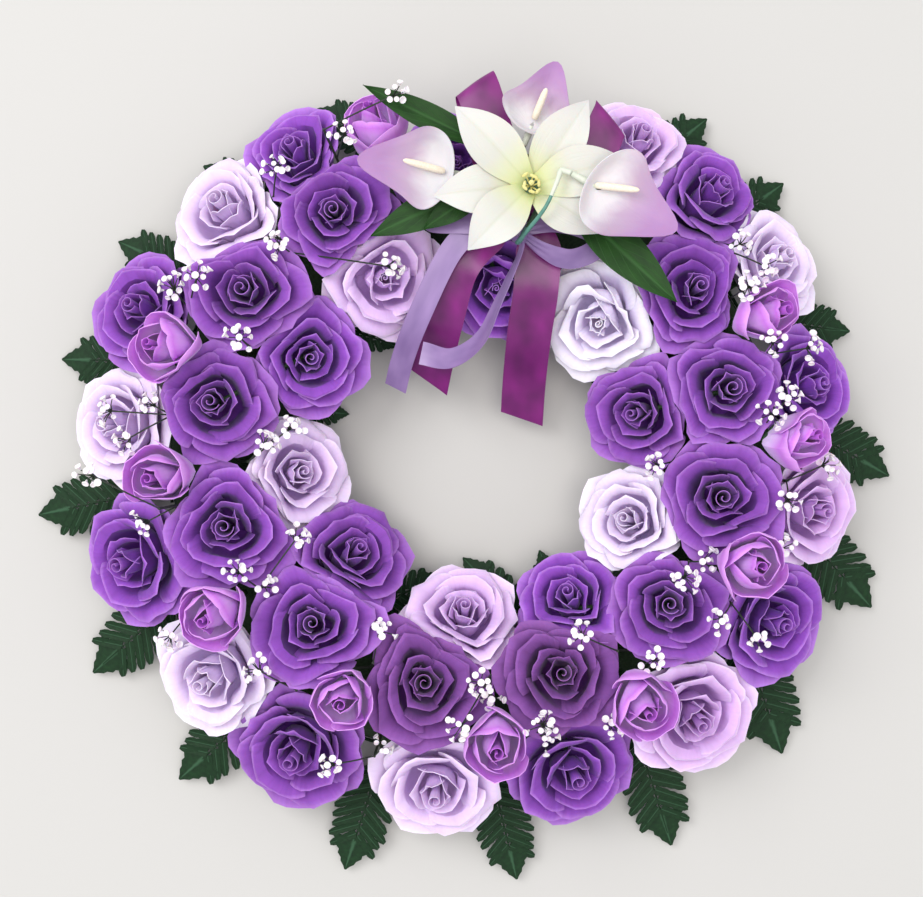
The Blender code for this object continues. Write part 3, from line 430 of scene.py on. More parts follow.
def bumped(tree, shader, layers):
    """Chains bumps onto the shader; each layer is (height, distance in mm, strength)."""
    normal = None
    for height, distance, strength in layers:
        bump = node(tree, "Bump", {"Height": height, "Distance": distance * MM, "Strength": strength})
        if normal:
            tree.links.new(normal, bump.inputs["Normal"])
        normal = bump.outputs["Normal"]
    tree.links.new(normal, shader.inputs["Normal"])


def silk_finish(name, petal_stops, heart_stops, heart_share, tinted, streaks=(0.86, 1.08)):
    """Polyester silk, ramped from a petal's foot to its rim and from the flower's heart outwards; where the
    feet and inner layers come out darker this is partly painted shade, and the lighter rims are partly a
    painted highlight, over the silk's own colour.
    """
    material, tree, shader = new_finish(name, 0.8, Sheen_Weight=0.12, Sheen_Roughness=0.45,
                                        Specular_IOR_Level=0.2, Subsurface_Weight=0.1, Subsurface_Scale=0.002)
    rim, heart, tint = (read(tree, key) for key in ("rim", "heart", "tint"))
    # Foot to rim: partly the silk's own colour, partly painted shade at the foot and a painted highlight at
    # the rim
    colour = ramp(tree, rim, petal_stops)
    # Towards the heart: partly painted shade on the inner layers and the rolled heart, over the silk's own
    # colour
    colour = mix(tree, reckon(tree, "MULTIPLY", heart, heart_share), colour, ramp(tree, heart, heart_stops))
    colour = mix(tree, tint, colour, mix(tree, rim, *tinted))
    fibre = noise(tree, 16, 1.6, 4.0, roughness=0.6)
    shade = ramp(tree, fibre, [(0.3, (streaks[0],) * 3), (0.7, (streaks[1],) * 3)])
    colour = mix(tree, 1.0, colour, shade, "MULTIPLY")
    tree.links.new(colour, shader.inputs["Base Color"])
    crease = noise(tree, 7, 2.2, 3.0)
    bumped(tree, shader, [(crease, 1.2, 0.35), (fibre, 0.5, 0.3), (thread_height(tree, 14, 14), 0.06, 0.25)])
    return material


def leaf_finish(name, blade_stops, vein, roughness, veins_across=0.0):
    """Printed leaf cloth with a pale midrib; side veins run out from it where asked."""
    material, tree, shader = new_finish(name, roughness, Sheen_Weight=0.03, Specular_IOR_Level=0.22)
    along, aside = along_and_aside(tree)
    blotch = noise(tree, 3, 5, 5.0, 1.5)
    colour = ramp(tree, blotch, blade_stops)
    rib = ramp(tree, aside, [(0.015, (1, 1, 1)), (0.07, (0, 0, 0))])
    lines = rib
    if veins_across:
        slanted = reckon(tree, "ADD", along, reckon(tree, "MULTIPLY", aside, -0.55))
        wave = reckon(tree, "SINE", reckon(tree, "MULTIPLY", slanted, veins_across * FULL_TURN))
        side_veins = ramp(tree, wave, [(0.86, (0, 0, 0)), (1.0, (0.45, 0.45, 0.45))])
        lines = mix(tree, 1.0, rib, side_veins, "LIGHTEN")
    colour = mix(tree, lines, colour, vein)
    edge = ramp(tree, read(tree, "rim"), [(0.86, (0, 0, 0)), (1.0, (0.55, 0.55, 0.55))])
    colour = mix(tree, edge, colour, vein)
    tree.links.new(colour, shader.inputs["Base Color"])
    bumped(tree, shader, [(lines, 0.3, 0.5), (blotch, 0.5, 0.3), (thread_height(tree, 16, 30), 0.05, 0.3)])
    return material


def satin_finish(name, dark, bright, edge):
    """Satin ribbon: fine weft ribs, a woven edge and a strong soft sheen."""
    material, tree, shader = new_finish(name, 0.34, Sheen_Weight=0.3, Sheen_Roughness=0.3,
                                        Specular_IOR_Level=0.6, Anisotropic=0.6)
    _, aside = along_and_aside(tree)
    cloud = noise(tree, 1.2, 5, 2.0)
    colour = ramp(tree, cloud, [(0.35, dark), (0.7, bright)])
    colour = mix(tree, ramp(tree, aside, [(0.455, (0, 0, 0)), (0.475, (0.6, 0.6, 0.6))]), colour, edge)
    tree.links.new(colour, shader.inputs["Base Color"])
    ribs = bands(tree, stretched(tree, 1, 90), "Y")
    lint = noise(tree, 60, 14, 2.0)
    rough = reckon(tree, "ADD", reckon(tree, "MULTIPLY", lint, 0.16), 0.25)
    tree.links.new(rough, shader.inputs["Roughness"])
    bumped(tree, shader, [(cloud, 1.0, 0.3), (ribs, 0.04, 0.3)])
    return material


def speckled_finish(name, stops, scale, roughness, bump_mm, **shader_values):
    """A finish with a grain in the piece's own space."""
    material, tree, shader = new_finish(name, roughness, **shader_values)
    place = node(tree, "TexCoord").outputs["Object"]
    grain = node(tree, "TexNoise", {"Vector": place, "Scale": scale, "Detail": 6.0,
                                    "Roughness": 0.65}).outputs["Fac"]
    tree.links.new(ramp(tree, grain, stops), shader.inputs["Base Color"])
    pits = node(tree, "TexVoronoi", {"Vector": place, "Scale": scale * 1.7}).outputs["Distance"]
    bumped(tree, shader, [(grain, bump_mm, 0.5), (pits, bump_mm, 0.4)])
    return material


# Finishes with a grain: name, dark and bright colour, scale of the grain, roughness and depth in mm
GRAINED = {
    "sepal": ("calyx_green", (0.020, 0.060, 0.020), (0.045, 0.120, 0.035), 400, 0.6, 0.1),
    "stem": ("wrapped_stem", (0.020, 0.060, 0.030), (0.040, 0.110, 0.050), 500, 0.5, 0.15),
    "teal": ("calla_stem", (0.060, 0.190, 0.150), (0.110, 0.290, 0.230), 300, 0.42, 0.1),
    "calla_base": ("calla_base", (0.560, 0.620, 0.500), (0.680, 0.700, 0.610), 300, 0.5, 0.1),
    "wire": ("dark_wire", (0.012, 0.022, 0.014), (0.030, 0.040, 0.022), 600, 0.6, 0.1),
    "pollen": ("pollen_yellow", (0.620, 0.560, 0.160), (0.780, 0.740, 0.360), 900, 0.7, 0.3),
    "spadix": ("cream_spadix", (0.820, 0.700, 0.520), (0.880, 0.820, 0.700), 900, 0.6, 0.4),
    "foam": ("florist_foam", (0.012, 0.030, 0.012), (0.035, 0.070, 0.028), 700, 0.95, 0.5),
    "tray": ("tray_plastic", (0.020, 0.050, 0.024), (0.028, 0.062, 0.032), 60, 0.42, 0.05),
}


def make_finishes():
    made = {
        # Purple silk: the dark foot stops are partly painted shade and the light rim stop partly a painted
        # highlight; the heart stops paint shade on the inner layers
        "purple": silk_finish("purple_silk",
                              [(0.0, (0.110, 0.020, 0.260)), (0.35, (0.190, 0.042, 0.400)),
                               (0.75, (0.270, 0.074, 0.490)), (1.0, (0.470, 0.220, 0.700))],
                              [(0.0, (0.330, 0.115, 0.600)), (1.0, (0.200, 0.045, 0.430))], 0.32,
                              ((0.095, 0.018, 0.165), (0.250, 0.092, 0.350))),
        "light": silk_finish("light_silk",
                             [(0.0, (0.480, 0.240, 0.630)), (0.5, (0.670, 0.420, 0.790)),
                              (0.85, (0.790, 0.550, 0.880)), (1.0, (0.890, 0.720, 0.950))],
                             [(0.0, (0.760, 0.520, 0.850)), (1.0, (0.400, 0.150, 0.580))], 0.66,
                             ((0.740, 0.640, 0.880), (0.910, 0.870, 0.950)), (0.93, 1.04)),
        "bud": silk_finish("bud_silk",
                           [(0.0, (0.840, 0.780, 0.940)), (0.35, (0.800, 0.600, 0.920)),
                            (0.7, (0.640, 0.210, 0.800)), (1.0, (0.800, 0.390, 0.930))],
                           [(0.0, (0.700, 0.290, 0.860)), (1.0, (0.420, 0.080, 0.600))], 0.85,
                           ((0.640, 0.230, 0.800), (0.800, 0.380, 0.920)), (0.92, 1.04)),
        "fern": leaf_finish("fern_cloth",
                            [(0.3, (0.004, 0.019, 0.006)), (0.6, (0.007, 0.034, 0.010)),
                             (0.8, (0.012, 0.051, 0.014))], (0.032, 0.090, 0.044), 0.6),
        "leaf": leaf_finish("lance_leaf", [(0.3, (0.005, 0.034, 0.003)), (0.7, (0.011, 0.060, 0.005))],
                            (0.020, 0.085, 0.014), 0.5, 9.0),
        "floret": speckled_finish("white_floret",
                                  [(0.3, (0.800, 0.720, 0.780)), (0.6, (0.900, 0.860, 0.880))],
                                  700, 0.55, 0.15, Subsurface_Weight=0.1, Subsurface_Scale=0.001),
        "plum": satin_finish("plum_satin", (0.110, 0.003, 0.095), (0.250, 0.008, 0.205),
                             (0.170, 0.005, 0.140)),
        "lavender": satin_finish("lavender_satin", (0.230, 0.145, 0.340), (0.330, 0.215, 0.450),
                                 (0.280, 0.175, 0.390)),
    }
    for key, (name, dark, bright, scale, roughness, depth) in GRAINED.items():
        made[key] = speckled_finish(name, [(0.3, dark), (0.7, bright)], scale, roughness, depth)
    return made


def lily_finish():
    """White lily cloth, greenish cream towards the throat, with fine lengthwise veins."""
    material, tree, shader = new_finish("lily_cloth", 0.5, Sheen_Weight=0.2, Subsurface_Weight=0.15,
                                        Subsurface_Scale=0.003)
    along, aside = along_and_aside(tree)
    colour = ramp(tree, along, [(0.0, (0.56, 0.62, 0.20)), (0.14, (0.64, 0.66, 0.38)),
                                (0.4, (0.60, 0.59, 0.53)), (1.0, (0.61, 0.60, 0.59))])
    rib = ramp(tree, aside, [(0.0, (0.93, 0.94, 0.88)), (0.06, (1, 1, 1))])
    tree.links.new(mix(tree, 1.0, colour, rib, "MULTIPLY"), shader.inputs["Base Color"])
    veins = noise(tree, 26, 1.2, 3.0)
    bumped(tree, shader, [(veins, 0.5, 0.35), (rib, 0.4, 0.4), (thread_height(tree, 14, 28), 0.05, 0.25)])
    return material


def calla_finish():
    """Calla cloth: white at the throat, lilac-pink towards the lip."""
    material, tree, shader = new_finish("calla_cloth", 0.5, Sheen_Weight=0.2, Subsurface_Weight=0.15,
                                        Subsurface_Scale=0.003)
    blush = read(tree, "rim")
    cloud = noise(tree, 3, 2, 3.0, 1.5)
    share = reckon(tree, "ADD", blush, reckon(tree, "MULTIPLY", reckon(tree, "SUBTRACT", cloud, 0.5), 0.35))
    colour = ramp(tree, share, [(0.1, (0.66, 0.63, 0.66)), (0.4, (0.46, 0.34, 0.47)),
                                (0.75, (0.38, 0.21, 0.43)), (1.0, (0.36, 0.18, 0.42))])
    tree.links.new(colour, shader.inputs["Base Color"])
    veins = noise(tree, 34, 1.2, 3.0)
    bumped(tree, shader, [(veins, 0.5, 0.3), (thread_height(tree, 30, 20), 0.05, 0.25)])
    return material


# Places on the ring

def tree_of(names):
    """A search tree over the faces of these solids, measured from the ring's middle."""
    points, faces = [], []
    for name in names:
        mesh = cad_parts[name].data
        start = len(points)
        points += [v.co - RING_MIDDLE for v in mesh.vertices]
        faces += [[start + v for v in polygon.vertices] for polygon in mesh.polygons]
    return BVHTree.FromPolygons(points, faces)


def core_below(point):
    return Vector((point.x, point.y, 0)).normalized() * RING_R


def seat(point, lift=CLEAR):
    core = core_below(point)
    hit = foam_tree.ray_cast(point, (core - point).normalized())[0]
    return hit + (point - core).normalized() * lift


def centre_of(bloom):
    return Vector((bloom.x, bloom.y, bloom.z)) * MM


def facing_of(bloom):
    centre = centre_of(bloom)
    outward = (centre - core_below(centre)).normalized()
    return (outward + 0.7 * UP + Vector((bloom.lean_x, bloom.lean_y, 0))).normalized()


def turn_to(facing, turn):
    return facing.to_track_quat("Z", "Y").to_matrix() @ Matrix.Rotation(math.radians(turn), 3, "Z")


def neck_of(bloom):
    centre = centre_of(bloom)
    above_foam = (centre - core_below(centre)).length - SECTION_R
    return centre - facing_of(bloom) * min(bloom.radius * MM * 0.8, above_foam - CREEP_ROOM)


def calyx_of(bloom):
    return centre_of(bloom) - facing_of(bloom) * bloom.radius * MM * 0.25


def nearest_on_segment(point, start, end):
    along = end - start
    share = max(0.0, min(1.0, (point - start).dot(along) / along.length_squared))
    return start + along * share


def planes_round(key, heads, rods):
    """The planes (normal, distance from the flower's middle) that shut a flower off from its neighbours."""
    bloom = heads[key]
    centre, reach = centre_of(bloom), bloom.radius * MM
    from_core = centre - core_below(centre)
    planes = [(-UP, centre.z - FLOWER_FLOOR),
              (-from_core.normalized(), from_core.length - SECTION_R - CREEP_ROOM)]
    if bloom.lid:
        planes.append((UP, bloom.lid * MM - centre.z))
    for other_key, other in heads.items():
        apart = centre_of(other) - centre
        other_reach = other.radius * MM
        if other_key != key and apart.length < (reach + other_reach) * 1.15:
            planes.append((apart.normalized(), apart.length * reach / (reach + other_reach) - CLEAR / 2))
    for owner, start, end, radius in rods:
        apart = nearest_on_segment(centre, start, end) - centre
        if owner != key and apart.length < reach * 1.2:
            planes.append((apart.normalized(), apart.length - radius - CLEAR))
    return planes


def squeeze(points, centre, reach, planes):
    """Draws the points of a flower in towards its middle until all are on its side of every plane."""
    offsets = points - np.array(centre)
    lengths = np.maximum(np.linalg.norm(offsets, axis=1), 1e-9)
    crowding = np.zeros(len(points))
    for normal, distance in planes:
        towards = np.maximum(offsets @ np.array(normal) / lengths, 0)
        crowding += (reach * towards / distance) ** SHARPNESS
    return np.array(centre) + offsets * ((1 + crowding) ** (-1 / SHARPNESS))[:, None]


# Flowers

# A layer of petals: how many, its turn and half span in degrees, how far the sides of a petal drop, its
# ripple, the width of its turned-over lip, how straight its rim is, and its section as (radius, height)
# points. The flower's radius is 1.
Layer = namedtuple("Layer", "petals turn span drop ripple lip straight section")
ROSE = [
    Layer(5, 0, 46, 0.42, 0.040, 0.06, 0.10,
          [(0.05, -0.74), (0.38, -0.60), (0.68, -0.30), (0.88, -0.12), (1.05, -0.04)]),
    Layer(5, 37, 47, 0.40, 0.035, 0.09, 0.20,
          [(0.05, -0.66), (0.36, -0.46), (0.62, -0.13), (0.78, 0.04), (0.90, 0.12)]),
    Layer(4, 10, 60, 0.30, 0.020, 0.11, 0.15,
          [(0.05, -0.56), (0.36, -0.38), (0.51, -0.06), (0.55, 0.18), (0.60, 0.34)]),
    Layer(3, 50, 66, 0.36, 0.018, 0.08, 0.55,
          [(0.04, -0.50), (0.24, -0.30), (0.33, 0.00), (0.36, 0.22), (0.40, 0.36)]),
    Layer(3, 112, 74, 0.40, 0.012, 0.05, 0.65,
          [(0.03, -0.40), (0.13, -0.20), (0.19, 0.10), (0.21, 0.32), (0.23, 0.46)]),
]
BUD = [
    Layer(3, 0, 70, 0.36, 0.030, 0.06, 0.10,
          [(0.06, -0.95), (0.46, -0.84), (0.72, -0.42), (0.74, 0.02), (0.66, 0.34)]),
    Layer(3, 58, 72, 0.40, 0.020, 0.05, 0.25,
          [(0.05, -0.85), (0.38, -0.66), (0.58, -0.2), (0.54, 0.25), (0.42, 0.50)]),
    Layer(2, 20, 98, 0.36, 0.012, 0.04, 0.40,
          [(0.04, -0.7), (0.30, -0.4), (0.36, 0.0), (0.30, 0.38), (0.20, 0.60)]),
]


def shape_petal(u, v, layer, middle, draw):
    """One petal of a flower of unit radius, cupped along its section, with a lip that turns out and down."""
    span = math.radians(layer.span) * draw.uniform(0.92, 1.08)
    fall, swell, roll, skew = (draw.uniform(-1, 1) for _ in range(4))
    reach = v * (1 - layer.drop * np.abs(u) ** 2.4)
    radius, height = spline(layer.section, reach).T
    lip = np.clip((v - 0.74) / 0.26, 0, 1) * (1 - 0.35 * np.abs(u) ** 3)
    width = layer.lip * (1 + 0.45 * roll)
    radius = radius * (1 + 0.05 * swell * v ** 2) + width * np.sin(lip * 1.9)
    height = height + width * (0.45 * lip - 1.30 * lip ** 2) + (0.035 * fall + 0.05 * skew * u) * v ** 2
    chord = math.cos(span * 0.85) / np.cos(u * span * 0.85)
    radius = radius * (1 - layer.straight * blend_in(v, 0.2, 1.0) * (1 - chord))
    radius = radius * (1 + 0.075 * u * blend_in(v, 0.1, 0.6)) + 0.05 * np.exp(-(u / 0.14) ** 2) * lip
    phase, waves = draw.uniform(0, FULL_TURN), draw.uniform(1.1, 1.8)
    ripple = layer.ripple * np.sin(math.pi * waves * u + phase) * v ** 2
    angle = middle + u * span
    height = height + ripple - 0.5 * layer.ripple * np.exp(-(u / 0.10) ** 2) * blend_in(v, 0.3, 0.8)
    radius = radius + 0.6 * layer.ripple * np.cos(math.pi * (waves + 1.2) * u + phase) * v ** 2
    return np.stack([radius * np.cos(angle), radius * np.sin(angle), height], axis=1)


def shape_heart(u, v, turns, start, inner, outer, foot, top):
    """The rolled heart of a flower: one strip wound round its axis."""
    t = (u + 1) / 2
    angle = start + t * turns * FULL_TURN
    lip = np.clip((v - 0.7) / 0.3, 0, 1)
    radius = inner + (outer - inner) * t + 0.03 * t * np.sin(lip * 1.6) - 0.02 * (1 - v)
    height = foot + (top - foot) * v + 0.05 * (1 - t) * v - 0.02 * lip ** 2
    return np.stack([radius * np.cos(angle), radius * np.sin(angle), height], axis=1)


def make_flower(name, layers, heart, bloom, planes, tint, material, node_name):
    """A silk flower head: layers of petals and a rolled heart, squeezed into its room among the others."""
    draw = random.Random(name)
    centre, reach = centre_of(bloom), bloom.radius * MM
    turn = np.array(turn_to(facing_of(bloom), bloom.turn))
    bm = new_cloth()

    def settle(local):
        return squeeze(np.array(centre) + (local @ turn.T) * reach, centre, reach, planes)

    for number, layer in enumerate(layers):
        detail = (14, 10) if number < 2 else (12, 8)
        for petal in range(layer.petals):
            middle = FULL_TURN * petal / layer.petals + math.radians(layer.turn + draw.uniform(-8, 8))
            verts, u, v = lay_grid(bm, *detail)
            u = np.sin(u * math.pi / 2)
            # The rim share rises later on inner layers, keeping them darker as painted shade in the cup; the
            # heart share grows inwards for more painted shade there
            rim = v ** (1.2 + 0.55 * number)
            local = shape_petal(u, v, layer, middle, draw)
            put(bm, verts, settle(local), rim, (number + 0.4) / (len(layers) + 1), tint)
    # The rolled heart takes the full heart share: the most painted shade, deep in the flower
    verts, u, v = lay_grid(bm, 34, 6)
    put(bm, verts, settle(shape_heart(u, v, *heart)), v ** 3, 1.0, tint)
    return finish_piece(name, bm, material, [node_name], SILK)


def make_greens(name, blooms, links, rods, material):
    """The calyx and stem below each flower head, and the short twigs that join two heads of one bunch."""
    bm = new_cloth()
    for key, bloom in blooms.items():
        draw = random.Random(key)
        centre, reach = centre_of(bloom), bloom.radius * MM
        turn = np.array(turn_to(facing_of(bloom), bloom.turn))
        low = -0.78 if not key.startswith("rosebud") else -0.98
        planes = planes_round(key, heads, rods)
        for sepal in range(5):
            verts, u, v = lay_grid(bm, 4, 6)
            angle = FULL_TURN * sepal / 5 + draw.uniform(-0.1, 0.1)
            wide = 0.13 * np.sin(math.pi * np.clip(0.25 + 0.75 * v, 0, 1)) ** 0.8 + 0.004
            out = spline([(0.03, low), (0.19, low + 0.01), (0.33, low + 0.07), (0.42, low + 0.13)], v)
            local = np.stack([out[:, 0] * math.cos(angle) - u * wide * math.sin(angle),
                              out[:, 0] * math.sin(angle) + u * wide * math.cos(angle),
                              out[:, 1] + 0.02 * np.abs(u)], axis=1)
            put(bm, verts, squeeze(np.array(centre) + (local @ turn.T) * reach, centre, reach, planes))
    bmesh.ops.recalc_face_normals(bm, faces=bm.faces)
    bmesh.ops.solidify(bm, geom=bm.faces[:], thickness=SILK)
    for key, bloom in blooms.items():
        _, foot, neck, _ = stems[key]
        facing = facing_of(bloom)
        away = (foot - neck).normalized()
        way = [neck + facing * 0.0035, neck + away * 0.001, neck.lerp(foot, 0.35), foot + away * 0.003]
        sweep(bm, way, [STEM_R * 1.7, STEM_R * 1.5, STEM_R, STEM_R], 8)
    for start, end in links:
        sweep(bm, [start, start.lerp(end, 0.5) - UP * 0.001, end], [STEM_R * 0.8] * 3, 6)
    finish_piece(name, bm, material, [])


# Ferns

def arc_on_foam(angle_from, angle_to, tilt, lift, step=14):
    count = max(2, int(abs(angle_to - angle_from) / step) + 1)
    points = []
    for k in range(count):
        angle = math.radians(angle_from + (angle_to - angle_from) * k / (count - 1))
        out = RING_R + (SECTION_R + lift) * math.sin(math.radians(tilt))
        points.append(Vector((out * math.cos(angle), out * math.sin(angle),
                              (SECTION_R + lift) * math.cos(math.radians(tilt)))))
    return points


def frond_width(share, length):
    return length * 0.26 * np.sin(math.pi * np.minimum(1, share * 0.74 + 0.12)) ** 0.8


def add_frond(bm, root, direction, length, leaflets, draw):
    """A fern frond: round-ended leaflets with small teeth, close together along the rib, and a broad tip."""
    across = UP.cross(direction).normalized()
    ahead, aside_way = np.array(direction), np.array(across)

    def lay(along, aside, lift):
        """The place of points given along the rib and aside of it, in metres, on the arched frond."""
        share = along / length
        rise = 0.006 * np.sin(math.pi * np.clip(share, 0, 1)) - 0.004 * share - 0.12 * np.abs(aside) + lift
        return (np.array(root) + ahead * along[:, None] + aside_way * aside[:, None]
                + np.array(UP) * rise[:, None])

    step = 0.60 / leaflets
    for side in (-1, 1):
        for k in range(leaflets):
            share = 0.17 + step * (k + 0.5 * (side > 0) * 0.4)
            reach = float(frond_width(share + step, length)) * draw.uniform(0.94, 1.04)
            lean = math.radians(draw.uniform(60, 66) - 14 * k / leaflets)
            verts, u, v = lay_grid(bm, 4, 9)
            rounded = np.where(v > 0.85, np.sqrt(np.clip(1 - ((v - 0.85) / 0.17) ** 2, 0.1, 1)), 1)
            half = step * length * 0.56 * (1 - 0.10 * v) * rounded
            half = half * (1 + 0.07 * np.where(np.round(v * 9) % 2 > 0, 1, -1) * blend_in(v, 0.2, 0.4))
            along = share * length + v * reach * math.cos(lean) + u * half * math.sin(lean) * 0.9
            aside = side * (0.0006 + v * reach * math.sin(lean) - u * half * math.cos(lean) * 0.6)
            lift = 0.0007 * (np.abs(u) - 0.5) + 0.0006 * math.sin(k * 2.3) * v + 0.0004 * (k % 2)
            put(bm, verts, lay(along, aside, lift), np.maximum(v ** 3, 0) * 0.7)
    verts, u, v = lay_grid(bm, 8, 9)
    start = 0.74
    tip_half = frond_width(np.full(len(v), start + 0.03), length) * 0.74 * np.clip(1 - v, 0.02, 1) ** 0.8
    tip_half = tip_half * (1 + 0.09 * np.where(np.round(v * 9) % 2 > 0, 1, -1))
    along = length * (start + (1 - start) * v)
    put(bm, verts, lay(along, u * tip_half, 0.0005 * np.abs(u)), v ** 4 * 0.4)


def plant_frond(tip_angle, tip_distance, heading, foot, side):
    """The angle round the ring where a frond stands on the foam's foot, the way it points, and its length."""
    tip = Matrix.Rotation(math.radians(tip_angle), 3, "Z") @ Vector((tip_distance * MM, 0, 0))
    direction = Matrix.Rotation(math.radians(heading), 3, "Z") @ Vector((1, 0, 0))
    reach = tip.dot(direction)
    length = reach - side * math.sqrt(reach ** 2 - tip.length_squared + foot ** 2)
    root = tip - direction * length
    return math.degrees(math.atan2(root.y, root.x)), direction, length


def make_ferns(name, fronds, side, material, node_name):
    """A wire along the foot of the foam with its fronds; side is 1 outside the ring and -1 inside."""
    draw = random.Random(name)
    tilt, lift = FERN_TILT * side, WIRE_R + (OUTER_WIRE_LIFT if side > 0 else WIRE_LIFT)
    foot = RING_R + (SECTION_R + lift) * math.sin(math.radians(tilt))
    bm = new_cloth()
    angles, roots = [], []
    for tip_angle, tip_distance, heading in fronds:
        angle, direction, length = plant_frond(tip_angle, tip_distance, heading, foot, side)
        if angles:
            angle = angles[-1] + (angle - angles[-1] + 180) % 360 - 180
        angles.append(angle)
        root = arc_on_foam(angle, angle + 1, tilt, lift, 1)[0]
        add_frond(bm, root, direction, length, 8 if side > 0 else 5, draw)
        roots.append((root, direction, length))
    bmesh.ops.recalc_face_normals(bm, faces=bm.faces)
    bmesh.ops.solidify(bm, geom=bm.faces[:], thickness=LEAF)
    wire_way = arc_on_foam(min(angles) - 3, max(angles) + 3, tilt, lift, 5)
    sweep(bm, wire_way, [WIRE_R] * len(wire_way), 8)
    for root, direction, length in roots:
        rib = [root + direction * length * share + UP * (0.006 * math.sin(math.pi * share) - 0.004 * share)
               for share in (-0.02, 0.15, 0.35, 0.55, 0.75, 0.9)]
        sweep(bm, rib, [0.0009, 0.0008, 0.0007, 0.0006, 0.0005, 0.0003], 6)
    finish_piece(name, bm, material, [node_name])


# Baby's breath

def room_at(point, tree):
    return tree.find_nearest(point)[3]


def clear_height(x, y, floor, tree, room):
    hit = tree.ray_cast(Vector((x, y, 0.3)), -UP)[0]
    height = max(floor, hit.z + room if hit else floor)
    while height < 0.2 and room_at(Vector((x, y, height)), tree) < room:
        height += 0.001
    return height


def sprig_way(foot, top, hub, tree):
    """How far up a riser a sprig leaves it, and its bend and its end."""
    steps = [0.12 * k for k in range(1, 9)]
    for lift in range(25):
        end = hub + UP * 0.002 * lift
        for share in (0.5, 0.6, 0.7, 0.8, 0.9):
            start = foot.lerp(top, share)
            bend = start.lerp(end, 0.5) + UP * 0.002
            way = [start.lerp(bend, step) for step in steps] + [bend.lerp(end, step) for step in steps]
            if start.z < end.z - 0.004 and min(room_at(point, tree) for point in way) > 0.0018:
                return share, bend, end
    return 0.9, bend, end


def creep(points, rods):
    """A wire's way over the foam through points, bent clear of the stems that stand in the foam."""
    way = []
    for first, second in zip(points, points[1:]):
        count = max(2, int((second - first).length / 0.007))
        way += [first.lerp(second, k / count) for k in range(count)]
    way.append(points[-1])
    room = WIRE_R + 0.0022
    for _, start, end, radius in rods:
        stem = (end - start).normalized()
        gaps = [(point - nearest_on_segment(point, start, end)).length for point in way]
        close = [k for k, gap in enumerate(gaps) if gap < room + radius + 0.004]
        if not close:
            continue
        across = stem.cross(way[min(close[-1] + 1, len(way) - 1)] - way[max(close[0] - 1, 0)]).normalized()
        if (way[gaps.index(min(gaps))] - start).dot(across) < 0:
            across = -across
        for k in close:
            if way[k] in points:
                continue
            aside = (way[k] - start).dot(across)
            way[k] = way[k] + across * max(0, room + radius - aside)
    for k, point in enumerate(way):
        core = core_below(point)
        way[k] = core + (point - core).normalized() * (SECTION_R + WIRE_R + WIRE_LIFT)
    return way


def riser_line(gap_xy):
    top = Vector((gap_xy[0], gap_xy[1], 60)) * MM
    core = core_below(top)
    out = (top - core).normalized()
    return core + out * (SECTION_R + WIRE_R + WIRE_LIFT), core + out * RISER_TOP


def floret_shape():
    """One tiny trumpet flower of unit radius, with five lobes and a hollow throat, along +Z from its foot."""
    bm = bmesh.new()
    ring = bmesh.ops.create_circle(bm, cap_ends=False, segments=10, radius=0.16)["verts"]
    edges = list(bm.edges)
    bmesh.ops.edgeloop_fill(bm, edges=edges)
    for scale, rise, lobed in ((2.6, 0.75, 0.0), (2.2, 0.45, 0.20), (0.95, 0.22, 0.0), (0.40, -0.30, -0.20)):
        grown = bmesh.ops.extrude_edge_only(bm, edges=edges)["geom"]
        ring = [g for g in grown if isinstance(g, bmesh.types.BMVert)]
        fresh = set(ring)
        edges = [g for g in grown if isinstance(g, bmesh.types.BMEdge) and set(g.verts) <= fresh]
        bmesh.ops.scale(bm, vec=(scale, scale, 1), verts=ring)
        bmesh.ops.translate(bm, vec=(0, 0, rise), verts=ring)
        for vert in ring:
            out = 1 + lobed * math.cos(5 * math.atan2(vert.co.y, vert.co.x))
            vert.co.x, vert.co.y = vert.co.x * out, vert.co.y * out
    bmesh.ops.edgeloop_fill(bm, edges=edges)
    bmesh.ops.recalc_face_normals(bm, faces=bm.faces)
    mesh = bpy.data.meshes.new("floret_shape")
    bm.to_mesh(mesh)
    bm.free()
    return mesh


